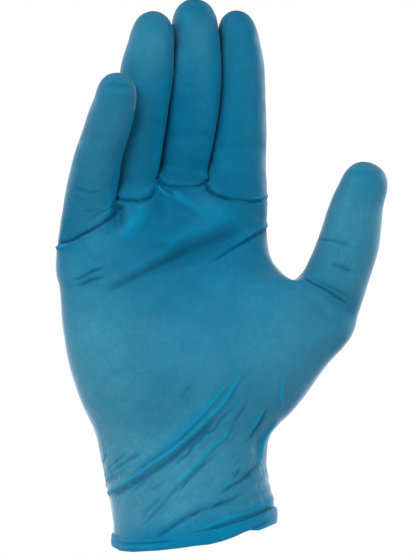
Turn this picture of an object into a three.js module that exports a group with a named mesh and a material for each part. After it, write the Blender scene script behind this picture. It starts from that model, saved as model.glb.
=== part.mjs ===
// A disposable nitrile glove, in the shape it has on a right hand, seen from the palm.
// The real glove is one seamless film: a hand-shaped former is dipped in liquid nitrile,
// and the film's edge is rolled up on itself into a bead round the cuff. So it is one solid:
// a hollow skin with five closed fingers, folds where the film bunches, and the bead.
//
// Millimetres. +Z runs up along the fingers, +X towards the thumb and -Y out of the palm.
// The origin is the centre of the cuff's mouth, where the wrist goes in.
import * as THREE from "three";

// Driving dimensions
const WALL = 1.4; // the film, thickened so that it can be handled as a solid
const BEAD_HEIGHT = 5.6; // the rolled edge, along the forearm
const BEAD_OUT = 1.2; // how far it stands out of the cuff
const BEAD_IN = 0.3; // and into it
const ROW_STEP = 4.6; // between two rings of the skin
const WEB_RECESS = 3.0; // how far the skin falls back between two fingers
const WEB_FALL = 9.0; // how much lower the gap between two fingers starts on the back
const THUMB_WEB_BACK = 2.0; // the same for the gap beside the thumb

// Columns of skin: a ring has a front and a back of whole columns, joined by two narrow sides.
const PER_FINGER = 4; // columns across the front of each finger
const PER_THUMB = 5;
const ROUND_SIDE = 3; // steps round each side, from front to back
const PALM_COLUMNS = 4 * PER_FINGER;
const SIDE_AT = 0.965; // where a side begins, as a share of half the width

// The cuff, wrist and palm up to the gap beside the thumb. A row is one ring of the skin: its points
// on the little finger's side (left), under that gap (web) and on the thumb's side (right), how far
// it reaches out of the palm (front) and of the back, how much lower it hangs on the palm than at its
// sides (sag), and how square it is (2 is an ellipse).
const BODY = [
  { leftX: -35.4, leftZ: -3.4, webX: 19.5, webZ: 3.0, rightX: 35.2, rightZ: 7.4, front: -23.5, back: 23.5, sag: 4.2, square: 2.1 },
  { leftX: -35.6, leftZ: 2.6, webX: 19.0, webZ: 8.4, rightX: 34.6, rightZ: 12.4, front: -23.3, back: 23.2, sag: 3.8, square: 2.1 },
  { leftX: -37.5, leftZ: 14.6, webX: 18.5, webZ: 18.6, rightX: 32.4, rightZ: 20.8, front: -22.6, back: 22.4, sag: 2.8, square: 2.2 },
  { leftX: -40.6, leftZ: 28.4, webX: 18.0, webZ: 29.6, rightX: 31.7, rightZ: 30.6, front: -21.8, back: 21.6, sag: 1.5, square: 2.3 },
  { leftX: -43.2, leftZ: 41.1, webX: 19.0, webZ: 41.0, rightX: 34.2, rightZ: 40.4, front: -22.3, back: 20.8, sag: 0.6, square: 2.3 },
  { leftX: -48.6, leftZ: 52.4, webX: 22.5, webZ: 51.2, rightX: 42.2, rightZ: 49.4, front: -24.3, back: 20.0, sag: 0, square: 2.4 },
  { leftX: -52.9, leftZ: 64.2, webX: 27.5, webZ: 62.4, rightX: 49.8, rightZ: 59.0, front: -25.8, back: 19.2, sag: 0, square: 2.5 },
  { leftX: -55.6, leftZ: 75.1, webX: 32.5, webZ: 74.0, rightX: 57.8, rightZ: 70.8, front: -25.6, back: 18.6, sag: 0, square: 2.5 },
  { leftX: -57.2, leftZ: 84.3, webX: 36.5, webZ: 84.2, rightX: 66.2, rightZ: 79.3, front: -24.2, back: 18.0, sag: 0, square: 2.5 },
  { leftX: -58.2, leftZ: 95.2, webX: 40.0, webZ: 96.0, rightX: 69.9, rightZ: 85.6, front: -21.6, back: 17.4, sag: 0, square: 2.6 },
  { leftX: -59.2, leftZ: 105.7, webX: 42.8, webZ: 108.0, rightX: 71.6, rightZ: 92.2, front: -18.4, back: 16.8, sag: 0, square: 2.7 },
];

// The palm above the gap beside the thumb: height gives the share of the way to the finger creases.
const PALM = [
  { height: 0.0, leftX: -59.2, rightX: 42.4, front: -18.4, back: 16.8, square: 2.7 },
  { height: 0.22, leftX: -60.2, rightX: 35.0, front: -16.9, back: 16.8, square: 2.6 },
  { height: 0.45, leftX: -60.6, rightX: 32.6, front: -15.4, back: 16.8, square: 2.6 },
  { height: 0.7, leftX: -60.5, rightX: 31.7, front: -14.0, back: 16.4, square: 2.6 },
  { height: 1.0, leftX: -60.1, rightX: 32.0, front: -12.2, back: 15.4, square: 2.6 },
];
const CUP_LEFT = 6.0; // the palm's edges come forward of its middle, on the little finger's side
const CUP_RIGHT = 1.5; // and on the thumb's

// Where the fingers begin: the height of the crease at a finger's left, middle and right.
const CREASES = [
  { rightX: -34.4, left: 126.2, middle: 131.6, right: 142.0 },
  { rightX: -15.8, left: 142.0, middle: 144.4, right: 151.8 },
  { rightX: 5.9, left: 151.8, middle: 149.8, right: 150.6 },
  { rightX: 32.0, left: 150.6, middle: 143.2, right: 142.8 },
];

// Each finger's centre line, from its first full ring to where its tip begins to round off.
const FINGERS = [
  {
    name: "little",
    tip: { x: -32.0, y: -26.6, z: 199.0 },
    rings: [
      { x: -45.6, y: -5.6, z: 144.2, width: 21.8, depth: 19.6 },
      { x: -43.4, y: -9.8, z: 155.5, width: 21.4, depth: 18.9 },
      { x: -41.3, y: -13.2, z: 165.1, width: 20.4, depth: 18.2 },
      { x: -39.1, y: -16.4, z: 171.7, width: 20.6, depth: 18.2 },
      { x: -36.8, y: -19.4, z: 178.7, width: 20.4, depth: 17.6 },
      { x: -34.4, y: -22.4, z: 186.2, width: 18.5, depth: 16.2 },
    ],
  },
  {
    name: "ring",
    tip: { x: -16.9, y: -9.2, z: 225.7 },
    rings: [
      { x: -24.9, y: -0.6, z: 152.8, width: 19.8, depth: 18.8 },
      { x: -24.0, y: -3.6, z: 166.4, width: 21.2, depth: 19.2 },
      { x: -22.8, y: -5.4, z: 177.8, width: 22.1, depth: 19.3 },
      { x: -21.9, y: -6.6, z: 188.8, width: 22.6, depth: 19.1 },
      { x: -20.9, y: -7.6, z: 200.4, width: 22.7, depth: 18.4 },
      { x: -19.5, y: -8.4, z: 209.4, width: 20.8, depth: 17.4 },
    ],
  },
  {
    name: "middle",
    tip: { x: -0.4, y: -3.2, z: 230.7 },
    rings: [
      { x: -4.6, y: 3.2, z: 157.4, width: 21.8, depth: 19.8 },
      { x: -3.2, y: 1.4, z: 166.6, width: 22.0, depth: 19.2 },
      { x: -1.9, y: 0.4, z: 174.7, width: 22.2, depth: 19.2 },
      { x: -0.4, y: -0.6, z: 187.4, width: 22.4, depth: 19.0 },
      { x: 0.3, y: -1.6, z: 200.5, width: 22.2, depth: 18.4 },
      { x: 0.4, y: -2.3, z: 214.4, width: 21.4, depth: 17.4 },
    ],
  },
  {
    name: "index",
    tip: { x: 17.6, y: 2.6, z: 225.8 },
    rings: [
      { x: 18.9, y: 5.6, z: 157.3, width: 25.4, depth: 21.2 },
      { x: 19.6, y: 5.8, z: 168.2, width: 24.4, depth: 20.4 },
      { x: 20.4, y: 5.6, z: 181.3, width: 22.4, depth: 19.6 },
      { x: 20.6, y: 5.2, z: 194.0, width: 21.3, depth: 18.5 },
      { x: 20.4, y: 4.4, z: 202.3, width: 20.6, depth: 17.8 },
      { x: 19.6, y: 3.7, z: 209.4, width: 19.2, depth: 17.0 },
    ],
  },
];
const THUMB = {
  name: "thumb",
  tip: { x: 77.2, y: -13.0, z: 159.7 },
  rings: [
    { x: 61.4, y: -5.4, z: 107.0, width: 28.8, depth: 26.0 },
    { x: 64.5, y: -6.8, z: 115.4, width: 27.8, depth: 24.2 },
    { x: 67.2, y: -8.2, z: 123.4, width: 27.9, depth: 23.0 },
    { x: 69.0, y: -9.4, z: 131.6, width: 26.6, depth: 22.0 },
    { x: 70.4, y: -10.6, z: 139.6, width: 25.0, depth: 20.4 },
    { x: 72.6, y: -11.8, z: 146.6, width: 22.6, depth: 18.4 },
  ],
};
const TIP_RINGS = [0.32, 0.6, 0.82]; // shares of a tip's length that carry a ring
const TIP_SQUARE = 2.3; // how blunt a tip is (2 is round)

// The flesh under the film, as soft mounds on the palm: a mound stands out by its height.
const MOUNDS = [
  { name: "thumb_pad", x: 36, z: 72, reachX: 22, reachZ: 30, height: 3.4 },
  { name: "palm_heel", x: -38, z: 72, reachX: 15, reachZ: 30, height: 2.2 },
  { name: "palm_hollow", x: -6, z: 98, reachX: 22, reachZ: 26, height: -3.6 },
];

// The main folds of the film, as ridges between two points on the palm side or on the back. The bow
// lifts the middle of the ridge across its line; a fold with a negative height is a valley.
const FOLDS = [
  { side: "palm", fromX: -60, fromZ: 124, toX: -36, toZ: 135, bow: -1.5, width: 2.4, height: -1.3 },
  { side: "palm", fromX: -35, fromZ: 144, toX: -17, toZ: 147, bow: -1.5, width: 2.4, height: -1.3 },
  { side: "palm", fromX: -17, fromZ: 153, toX: 5.5, toZ: 150, bow: -3, width: 2.4, height: -1.3 },
  { side: "palm", fromX: 5.5, fromZ: 148, toX: 32, toZ: 143, bow: -1.5, width: 2.4, height: -1.3 },
  { side: "palm", fromX: 48, fromZ: 110, toX: 68, toZ: 97, bow: -1, width: 2.6, height: -1.3 },
  { side: "palm", fromX: -37, fromZ: 17, toX: 24, toZ: 68, bow: -5, width: 3.4, height: 1.8 },
  { side: "palm", fromX: -20, fromZ: 3, toX: 27, toZ: 46, bow: -6, width: 3.2, height: 1.0 },
  { side: "palm", fromX: -4, fromZ: 4, toX: 35, toZ: 24, bow: -3, width: 3.4, height: 1.2 },
  { side: "palm", fromX: -42, fromZ: 106, toX: 32, toZ: 132, bow: 2, width: 5.0, height: -1.0 },
  { side: "palm", fromX: 12, fromZ: 121, toX: 33, toZ: 131, bow: 1, width: 2.6, height: 1.2 },
  { side: "palm", fromX: -56, fromZ: 98, toX: -30, toZ: 110, bow: -2, width: 3.0, height: 0.8 },
  { side: "back", fromX: -36, fromZ: 26, toX: 30, toZ: 36, bow: -4, width: 3.6, height: 1.2 },
  { side: "back", fromX: -30, fromZ: 46, toX: 36, toZ: 44, bow: -4, width: 4.0, height: 0.9 },
  { side: "back", fromX: 20, fromZ: 112, toX: 48, toZ: 84, bow: 3, width: 3.6, height: 1.0 },
];

// A smooth curve through a table's rows: the value of one column at a place along another.
function smoothAt(rows, along, column, at) {
  const last = rows.length - 1;
  let i = 0;
  while (i < last - 1 && at > rows[i + 1][along]) i++;
  const slope = (k) => {
    const [a, b] = [rows[Math.max(k - 1, 0)], rows[Math.min(k + 1, last)]];
    return (b[column] - a[column]) / (b[along] - a[along]);
  };
  const [a, b] = [rows[i], rows[i + 1]];
  const span = b[along] - a[along];
  const t = Math.min(Math.max((at - a[along]) / span, 0), 1);
  const [t2, t3] = [t * t, t * t * t];
  return (
    (2 * t3 - 3 * t2 + 1) * a[column] +
    (t3 - 2 * t2 + t) * span * slope(i) +
    (3 * t2 - 2 * t3) * b[column] +
    (t3 - t2) * span * slope(i + 1)
  );
}

// Adds a running place to each row of a table, so that it can be read at any place along it.
function withPlaces(rows, distance) {
  let place = 0;
  return rows.map((row, i) => {
    if (i) place += distance(rows[i - 1], row);
    return { ...row, place };
  });
}

function rowAt(rows, place) {
  const row = {};
  for (const column of Object.keys(rows[0])) row[column] = smoothAt(rows, "place", column, place);
  return row;
}

// Places spread evenly from the first row to the last, about a step apart.
function evenPlaces(rows, step) {
  const length = rows[rows.length - 1].place;
  const count = Math.round(length / step);
  return Array.from({ length: count + 1 }, (_, i) => (length * i) / count);
}

// The skin: points, and the four-cornered patches between them.
const points = [];
const patches = [];
const addPoint = (x, y, z) => points.push(new THREE.Vector3(x, y, z)) - 1;

// A ring of skin holds the numbers of its points. Front and back run from left to right,
// and the sides from front to back.
const roundRing = (ring) => [...ring.front, ...ring.right, ...ring.back.toReversed(), ...ring.left.toReversed()];

function stitch(lower, upper) {
  const [low, high] = [roundRing(lower), roundRing(upper)];
  low.forEach((corner, i) => {
    const next = (i + 1) % low.length;
    patches.push([corner, low[next], high[next], high[i]]);
  });
}

const lerp = THREE.MathUtils.lerp;
const sideSteps = Array.from({ length: ROUND_SIDE - 1 }, (_, i) => (i + 1) / ROUND_SIDE);

// How far the flesh lifts the palm side of the skin.
function mounds(x, z) {
  return MOUNDS.reduce((sum, m) => {
    const [across, up] = [(x - m.x) / m.reachX, (z - m.z) / m.reachZ];
    return sum + m.height * Math.exp(-across * across - up * up);
  }, 0);
}

// One ring of the cuff, wrist or palm. columns gives the x and z of each front column; the section is
// a flattened oval between left and right whose edges come forward by the palm's cup.
function slabRing(row, columns, cup) {
  const middle = (row.leftX + row.rightX) / 2;
  const half = (row.rightX - row.leftX) / 2;
  const [centre, deep] = [(row.front + row.back) / 2, (row.back - row.front) / 2];
  const forward = (share) => -cup * share * share * (share < 0 ? CUP_LEFT : CUP_RIGHT);
  const point = (share, side, z) => {
    const depth = deep * (1 - Math.abs(share) ** row.square) ** (1 / row.square);
    const x = middle + share * half;
    const y = centre + forward(share) + side * depth;
    const hang = (row.sag ?? 0) * side * (depth / deep);
    return addPoint(x, side < 0 ? y - mounds(x, z) : y, z + hang);
  };
  const shares = columns.map((c) => THREE.MathUtils.clamp((c.x - middle) / half, -SIDE_AT, SIDE_AT));
  const turn = Math.acos(SIDE_AT ** (row.square / 2));
  const round = (sign, z) =>
    sideSteps.map((step) => {
      const angle = turn * (1 - 2 * step);
      const share = sign * Math.cos(angle) ** (2 / row.square);
      return point(share, -Math.sign(angle) || -1, z);
    });
  return {
    front: columns.map((c, i) => point(shares[i], -1, c.z)),
    back: columns.map((c, i) => point(shares[i], 1, c.backZ ?? c.z)),
    left: round(-1, (columns[0].z + (columns[0].backZ ?? columns[0].z)) / 2),
    right: round(1, (columns.at(-1).z + (columns.at(-1).backZ ?? columns.at(-1).z)) / 2),
  };
}

// Finger boundaries as shares of the palm's width: even at the wrist, as the creases lie at the top.
const palmLeft = PALM.at(-1).leftX;
const palmWidth = PALM.at(-1).rightX - palmLeft;
const topShares = [0, ...CREASES.map((c) => (c.rightX - palmLeft) / palmWidth)];

// The share of the palm's width at which a column stands, for a row this far up towards the creases.
function columnShare(column, up) {
  const finger = Math.min(Math.floor(column / PER_FINGER), 3);
  const within = (column - finger * PER_FINGER) / PER_FINGER;
  const crease = lerp(topShares[finger], topShares[finger + 1], within);
  return lerp(column / PALM_COLUMNS, crease, up);
}

// The crease's height at a column, on the front and on the back.
function creaseHeights(column) {
  const finger = Math.min(Math.floor(column / PER_FINGER), 3);
  const within = (column - finger * PER_FINGER) / PER_FINGER;
  const { left, middle, right } = CREASES[finger];
  const bulge = middle - (left + right) / 2;
  const front = lerp(left, right, within) + 4 * bulge * within * (1 - within);
  const fall = WEB_FALL * (1 - 1.2 * within * (1 - within));
  return { front, back: lerp(left, right, within) - fall };
}

// The glove's body, from the mouth up to the gap beside the thumb.
function bodyRings() {
  const rows = withPlaces(BODY, (a, b) => (Math.hypot(b.leftX - a.leftX, b.leftZ - a.leftZ) + b.webZ - a.webZ) / 2);
  const length = rows.at(-1).place;
  return evenPlaces(rows, ROW_STEP).map((place) => {
    const row = rowAt(rows, place);
    const up = (place / length) ** 2 * 0.6;
    const columns = [];
    for (let i = 0; i <= PALM_COLUMNS; i++) {
      const share = columnShare(i, up);
      columns.push({ x: lerp(row.leftX, row.webX, share), z: lerp(row.leftZ, row.webZ, share) });
    }
    for (let i = 1; i <= PER_THUMB; i++) {
      const share = i / PER_THUMB;
      columns.push({ x: lerp(row.webX, row.rightX, share), z: lerp(row.webZ, row.rightZ, share) });
    }
    return { row, ring: slabRing(row, columns, place / length) };
  });
}

// Points from the front of a web to its back, between two columns that the ring already has.
function webPoints(front, back, sink) {
  const [a, b] = [points[front], points[back]];
  return sideSteps.map((step) => {
    const low = 4 * step * (1 - step) * sink;
    return addPoint(lerp(a.x, b.x, step), lerp(a.y, b.y, step), lerp(a.z, b.z, step) - low);
  });
}

// The palm, from the gap beside the thumb up to the creases of the fingers.
function palmRings(start) {
  const rows = PALM.map((row) => ({ ...row, place: row.height }));
  const steps = 8;
  const rings = [];
  for (let i = 1; i <= steps; i++) {
    const height = i / steps;
    const row = rowAt(rows, height);
    const columns = [];
    for (let c = 0; c <= PALM_COLUMNS; c++) {
      const crease = creaseHeights(c);
      const [lowFront, lowBack] = [points[start.front[c]].z, points[start.back[c]].z];
      columns.push({
        x: lerp(row.leftX, row.rightX, columnShare(c, 0.6 + 0.4 * height)),
        z: lerp(lowFront, crease.front, height),
        backZ: lerp(lowBack, crease.back, height),
      });
    }
    rings.push(slabRing(row, columns, 1));
  }
  return rings;
}

// A ring round a finger, square to its centre line.
function fingerRing(at, along, width, depth, columns) {
  const across = new THREE.Vector3(along.z, 0, -along.x).normalize();
  const backward = new THREE.Vector3().crossVectors(along, across).normalize();
  const step = (2 * Math.PI) / (2 * columns + 2 * ROUND_SIDE);
  const point = (turns) => {
    const [side, out] = [(Math.sin(turns * step) * width) / 2, (-Math.cos(turns * step) * depth) / 2];
    const p = at.clone().addScaledVector(across, side).addScaledVector(backward, out);
    return addPoint(p.x, p.y, p.z);
  };
  const half = columns / 2;
  const range = (count, place) => Array.from({ length: count }, (_, i) => point(place(i)));
  return {
    front: range(columns + 1, (i) => i - half),
    right: range(ROUND_SIDE - 1, (i) => half + i + 1),
    back: range(columns + 1, (i) => half + ROUND_SIDE + columns - i),
    left: range(ROUND_SIDE - 1, (i) => -half - i - 1),
  };
}

// A ring part of the way between two others.
function ringBetween(lower, upper, share) {
  const blend = (a, b) => {
    const p = points[a].clone().lerp(points[b], share);
    return addPoint(p.x, p.y, p.z);
  };
  const mixed = {};
  for (const part of ["front", "right", "back", "left"]) {
    mixed[part] = lower[part].map((corner, i) => blend(corner, upper[part][i]));
  }
  return mixed;
}

// How wide a fingertip still is at a share of its length, and how far up it is at a share of its width.
const tipProfile = (share) => Math.max(1 - share ** TIP_SQUARE, 0) ** (1 / TIP_SQUARE);

// Closes a fingertip with a patch of skin over its last ring, lifted onto the round end of the finger.
function closeTip(ring, columns, shoulder, toTip) {
  const centre = new THREE.Vector3(shoulder.x, shoulder.y, shoulder.z);
  const up = toTip.clone().normalize();
  const radius = (shoulder.width + shoulder.depth) / 4;
  const grid = [ring.front];
  for (let r = 1; r < ROUND_SIDE; r++) {
    const down = r / ROUND_SIDE;
    const [left, right] = [points[ring.left[r - 1]], points[ring.right[r - 1]]];
    const line = [ring.left[r - 1]];
    for (let c = 1; c < columns; c++) {
      const rim = left.clone().lerp(right, c / columns);
      const edge = points[ring.front[c]].clone().lerp(points[ring.back[c]], down);
      const side = rim.add(edge).multiplyScalar(0.5).sub(centre);
      side.addScaledVector(up, -side.dot(up));
      const p = side.clone().add(centre).addScaledVector(toTip, tipProfile(side.length() / radius));
      line.push(addPoint(p.x, p.y, p.z));
    }
    line.push(ring.right[r - 1]);
    grid.push(line);
  }
  grid.push(ring.back);
  for (let r = 0; r < ROUND_SIDE; r++) {
    for (let c = 0; c < columns; c++) {
      patches.push([grid[r][c], grid[r][c + 1], grid[r + 1][c + 1], grid[r + 1][c]]);
    }
  }
}

// A finger grows from its base ring through full rings along its centre line to its round tip.
function growFinger(finger, base, columns) {
  const rows = withPlaces(finger.rings, (a, b) => Math.hypot(b.x - a.x, b.y - a.y, b.z - a.z));
  const centre = (row) => new THREE.Vector3(row.x, row.y, row.z);
  const length = rows.at(-1).place;
  const rings = evenPlaces(rows, ROW_STEP).map((place) => {
    const row = rowAt(rows, place);
    const [before, after] = [Math.max(place - 1, 0), Math.min(place + 1, length)];
    const along = centre(rowAt(rows, after)).sub(centre(rowAt(rows, before))).normalize();
    return fingerRing(centre(row), along, row.width, row.depth, columns);
  });
  const shoulder = rows.at(-1);
  const tip = centre(finger.tip);
  const toTip = tip.clone().sub(centre(shoulder));
  for (const share of TIP_RINGS) {
    const round = tipProfile(share);
    const at = centre(shoulder).addScaledVector(toTip, share);
    rings.push(fingerRing(at, toTip.clone().normalize(), shoulder.width * round, shoulder.depth * round, columns));
  }
  const start = [1 / 3, 2 / 3].map((share) => ringBetween(base, rings[0], share));
  [base, ...start, ...rings].forEach((ring, i, all) => i && stitch(all[i - 1], ring));
  closeTip(rings.at(-1), columns, shoulder, toTip);
}

// The whole outside of the glove, up from the mouth.
const body = bodyRings();
body.forEach(({ ring }, i) => i && stitch(body[i - 1].ring, ring));
const split = body.at(-1).ring;
const thumbWeb = webPoints(split.front[PALM_COLUMNS], split.back[PALM_COLUMNS], THUMB_WEB_BACK);
const palmStart = {
  front: split.front.slice(0, PALM_COLUMNS + 1),
  right: thumbWeb,
  back: split.back.slice(0, PALM_COLUMNS + 1),
  left: split.left,
};
const thumbStart = {
  front: split.front.slice(PALM_COLUMNS),
  right: split.right,
  back: split.back.slice(PALM_COLUMNS),
  left: thumbWeb,
};
const palm = palmRings(palmStart);
[palmStart, ...palm].forEach((ring, i, all) => i && stitch(all[i - 1], ring));
const top = palm.at(-1);
const webs = [1, 2, 3].map((i) => {
  const column = i * PER_FINGER;
  points[top.front[column]].y += WEB_RECESS;
  return webPoints(top.front[column], top.back[column], 1.0);
});
FINGERS.forEach((finger, i) => {
  const columns = [i * PER_FINGER, (i + 1) * PER_FINGER + 1];
  const base = {
    front: top.front.slice(...columns),
    right: webs[i] ?? top.right,
    back: top.back.slice(...columns),
    left: webs[i - 1] ?? top.left,
  };
  growFinger(finger, base, PER_FINGER);
});
growFinger(THUMB, thumbStart, PER_THUMB);

// Evens out the skin: each point moves a share of the way to the mean of its neighbours.
function relax(times, share) {
  const neighbours = points.map(() => new Set());
  for (const patch of patches) {
    patch.forEach((corner, i) => {
      neighbours[corner].add(patch[(i + 1) % 4]);
      neighbours[patch[(i + 1) % 4]].add(corner);
    });
  }
  const mouth = new Set(roundRing(body[0].ring));
  for (let t = 0; t < times; t++) {
    const moved = points.map((p, i) => {
      if (mouth.has(i)) return p;
      const mean = new THREE.Vector3();
      neighbours[i].forEach((n) => mean.add(points[n]));
      return p.clone().lerp(mean.divideScalar(neighbours[i].size), share);
    });
    moved.forEach((p, i) => points[i].copy(p));
  }
}
relax(1, 0.3);

const triangles = (list) => list.flatMap(([a, b, c, d]) => [a, b, c, a, c, d]);

function skinNormals() {
  const skin = new THREE.BufferGeometry().setFromPoints(points);
  skin.setIndex(triangles(patches));
  skin.computeVertexNormals();
  const normal = skin.getAttribute("normal");
  return points.map((_, i) => new THREE.Vector3().fromBufferAttribute(normal, i));
}

// How far the folds lift the film at a point of one side.
function foldHeight(side, x, z) {
  return FOLDS.reduce((sum, f) => {
    if (f.side !== side) return sum;
    const [runX, runZ] = [f.toX - f.fromX, f.toZ - f.fromZ];
    const length = Math.hypot(runX, runZ);
    const [dx, dz] = [x - f.fromX, z - f.fromZ];
    const along = (dx * runX + dz * runZ) / (length * length);
    if (along < 0 || along > 1) return sum;
    const across = (dz * runX - dx * runZ) / length - f.bow * 4 * along * (1 - along);
    return sum + f.height * Math.sin(Math.PI * along) ** 0.5 * Math.exp(-((across / f.width) ** 2));
  }, 0);
}

// The folds shape the whole film, so the inside follows the outside at the film's thickness.
const normals = skinNormals();
const outside = points.map((p, i) => {
  const side = normals[i].y < 0 ? "palm" : "back";
  return p.clone().addScaledVector(normals[i], Math.abs(normals[i].y) * foldHeight(side, p.x, p.z));
});
const inside = outside.map((p, i) => p.clone().addScaledVector(normals[i], -WALL));

// The bead: the lowest rings of the skin bulge out and in between the mouth and the bead's height.
const mouthRing = roundRing(body[0].ring);
const beadRows = [
  { up: 1.0, out: 0.35 },
  { up: 0.8, out: 1.0 },
  { up: 0.35, out: 1.0 },
  { up: 0.0, out: 0.1 },
];
const mouthOut = mouthRing.map((i) => new THREE.Vector3(normals[i].x, normals[i].y, 0).normalize());
const bead = (reach, start) =>
  beadRows.map(({ up, out }) =>
    mouthRing.map((i, k) => {
      const p = start[i].clone().addScaledVector(mouthOut[k], reach * out);
      return p.setZ(p.z - BEAD_HEIGHT * (1 - up));
    }),
  );

const geometry = new THREE.BufferGeometry();
const vertices = [...outside, ...inside];
const faces = [...patches, ...patches.map((patch) => patch.map((i) => i + points.length).toReversed())];
const outerRows = bead(BEAD_OUT, outside).map((line) => line.map((p) => vertices.push(p) - 1));
const innerRows = bead(-BEAD_IN, inside).map((line) => line.map((p) => vertices.push(p) - 1));
const rim = [
  mouthRing,
  ...outerRows,
  ...innerRows.toReversed(),
  mouthRing.map((i) => i + points.length),
];
rim.forEach((line, r) => {
  if (!r) return;
  const above = rim[r - 1];
  line.forEach((corner, i) => {
    const next = (i + 1) % line.length;
    faces.push([corner, line[next], above[next], above[i]]);
  });
});
geometry.setFromPoints(vertices);
geometry.setIndex(triangles(faces));
geometry.computeVertexNormals();

const nitrile = new THREE.MeshStandardMaterial({ color: 0x1f7fa6, roughness: 0.55, metalness: 0 });
const glove = new THREE.Mesh(geometry, nitrile);
glove.name = "glove";

const group = new THREE.Group();
group.add(glove);

export default group;
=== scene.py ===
"""A disposable nitrile glove in its worn form, seen from the palm, standing free in soft studio light."""

import math

import bmesh
import bpy
import numpy as np
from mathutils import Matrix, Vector, noise


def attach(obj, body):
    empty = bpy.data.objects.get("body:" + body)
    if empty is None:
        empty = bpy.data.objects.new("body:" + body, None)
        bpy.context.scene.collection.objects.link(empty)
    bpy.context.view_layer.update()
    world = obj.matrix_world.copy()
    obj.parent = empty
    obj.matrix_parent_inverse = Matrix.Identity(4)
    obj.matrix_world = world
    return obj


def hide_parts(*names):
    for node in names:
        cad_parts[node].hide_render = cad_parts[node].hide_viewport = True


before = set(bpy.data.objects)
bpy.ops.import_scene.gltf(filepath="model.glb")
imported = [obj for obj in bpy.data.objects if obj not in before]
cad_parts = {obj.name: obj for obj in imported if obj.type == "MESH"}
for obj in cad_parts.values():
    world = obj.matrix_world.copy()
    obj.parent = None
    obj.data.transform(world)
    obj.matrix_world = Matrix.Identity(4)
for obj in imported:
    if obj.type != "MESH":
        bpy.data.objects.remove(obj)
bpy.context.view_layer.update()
MM = 0.001

# The film. The real glove is one seamless skin of blue nitrile, a tenth of a millimetre thick, made by
# dipping a hand-shaped former. Its form is a net of four-cornered patches that is laid ring by ring from
# the cuff up, split into five fingers, rounded by subdivision, and then creased where the film bunches.

PER_FINGER = 5  # columns of patches across the front of each finger
PER_THUMB = 6
ROUND_SIDE = 4  # steps round each side, from front to back
PALM_COLUMNS = 4 * PER_FINGER
PALM_RINGS = 9  # from where the thumb parts to the finger bases
ROW_STEP = 4.4
SIDE_AT = 0.965  # where a side begins, as a share of half the width
PARTED = 0.6  # how far the columns stand under their own fingers where the thumb parts
# The webs: how far they are set back and rise between the fingers, how far the gaps fall from palm to
# back and how much less the fingers' middles do, and how far the thumb's web sinks.
WEB_RECESS, WEB_RISE, WEB_FALL, WEB_ARCH, THUMB_WEB_SINK = 3.0, 4.5, 9.0, 1.2, 2.0
CUP_LEFT, CUP_RIGHT = 6.0, 1.5  # how far the palm's edges curl forward
TIP_RINGS = (0.28, 0.52, 0.72, 0.87)  # shares of the way from a finger's last full ring to its top
TIP_SQUARE = 2.3

# Millimetres. A row is one ring of the cuff, wrist or palm: its points on the little finger's side, under
# the gap beside the thumb and on the thumb's side, its reach to the front and back, how much lower it
# hangs in front, and how square it is.
BODY_COLUMNS = "left_x left_z web_x web_z right_x right_z front back sag square"
BODY = (
    (-35.3, -5.2, 19.6, 1.2, 35.3, 5.6, -23.5, 23.5, 4.3, 2.1),
    (-35.6, 2.6, 19.0, 8.4, 34.6, 12.4, -23.3, 23.2, 3.8, 2.1),
    (-37.5, 14.6, 18.5, 18.6, 32.4, 20.8, -22.6, 22.4, 2.8, 2.2),
    (-40.6, 28.4, 18.0, 29.6, 31.7, 30.6, -21.8, 21.6, 1.5, 2.3),
    (-43.2, 41.1, 19.0, 41.0, 33.5, 40.8, -22.3, 20.8, 0.6, 2.3),
    (-48.6, 52.4, 22.5, 51.2, 42.2, 49.4, -24.3, 20.0, 0.0, 2.4),
    (-52.9, 64.2, 27.5, 62.4, 49.8, 59.0, -25.8, 19.2, 0.0, 2.5),
    (-55.6, 75.1, 32.5, 74.0, 57.8, 70.8, -25.6, 18.6, 0.0, 2.5),
    (-57.2, 84.3, 36.5, 84.2, 66.2, 79.3, -24.2, 18.0, 0.0, 2.5),
    (-58.2, 95.2, 40.0, 96.0, 69.9, 85.6, -21.6, 17.4, 0.0, 2.6),
    (-59.2, 105.7, 42.8, 108.0, 71.6, 92.2, -18.4, 16.8, 0.0, 2.7),
)
PALM_TABLE_COLUMNS = "height left_x right_x front back square"
PALM = (
    (0.0, -59.2, 42.4, -18.4, 16.8, 2.7),
    (0.22, -60.2, 35.0, -16.9, 16.8, 2.6),
    (0.45, -60.6, 32.6, -15.4, 16.8, 2.6),
    (0.7, -60.5, 31.7, -14.0, 16.4, 2.6),
    (1.0, -60.1, 32.0, -12.2, 15.4, 2.6),
)
CREASE_COLUMNS = "right_x left middle right"  # a finger's right edge, and its crease's heights
CREASES = (
    (-34.4, 126.2, 131.6, 142.0),
    (-15.8, 142.0, 144.4, 151.8),
    (5.9, 151.8, 149.8, 150.6),
    (32.0, 150.6, 143.2, 142.8),
)
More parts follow.
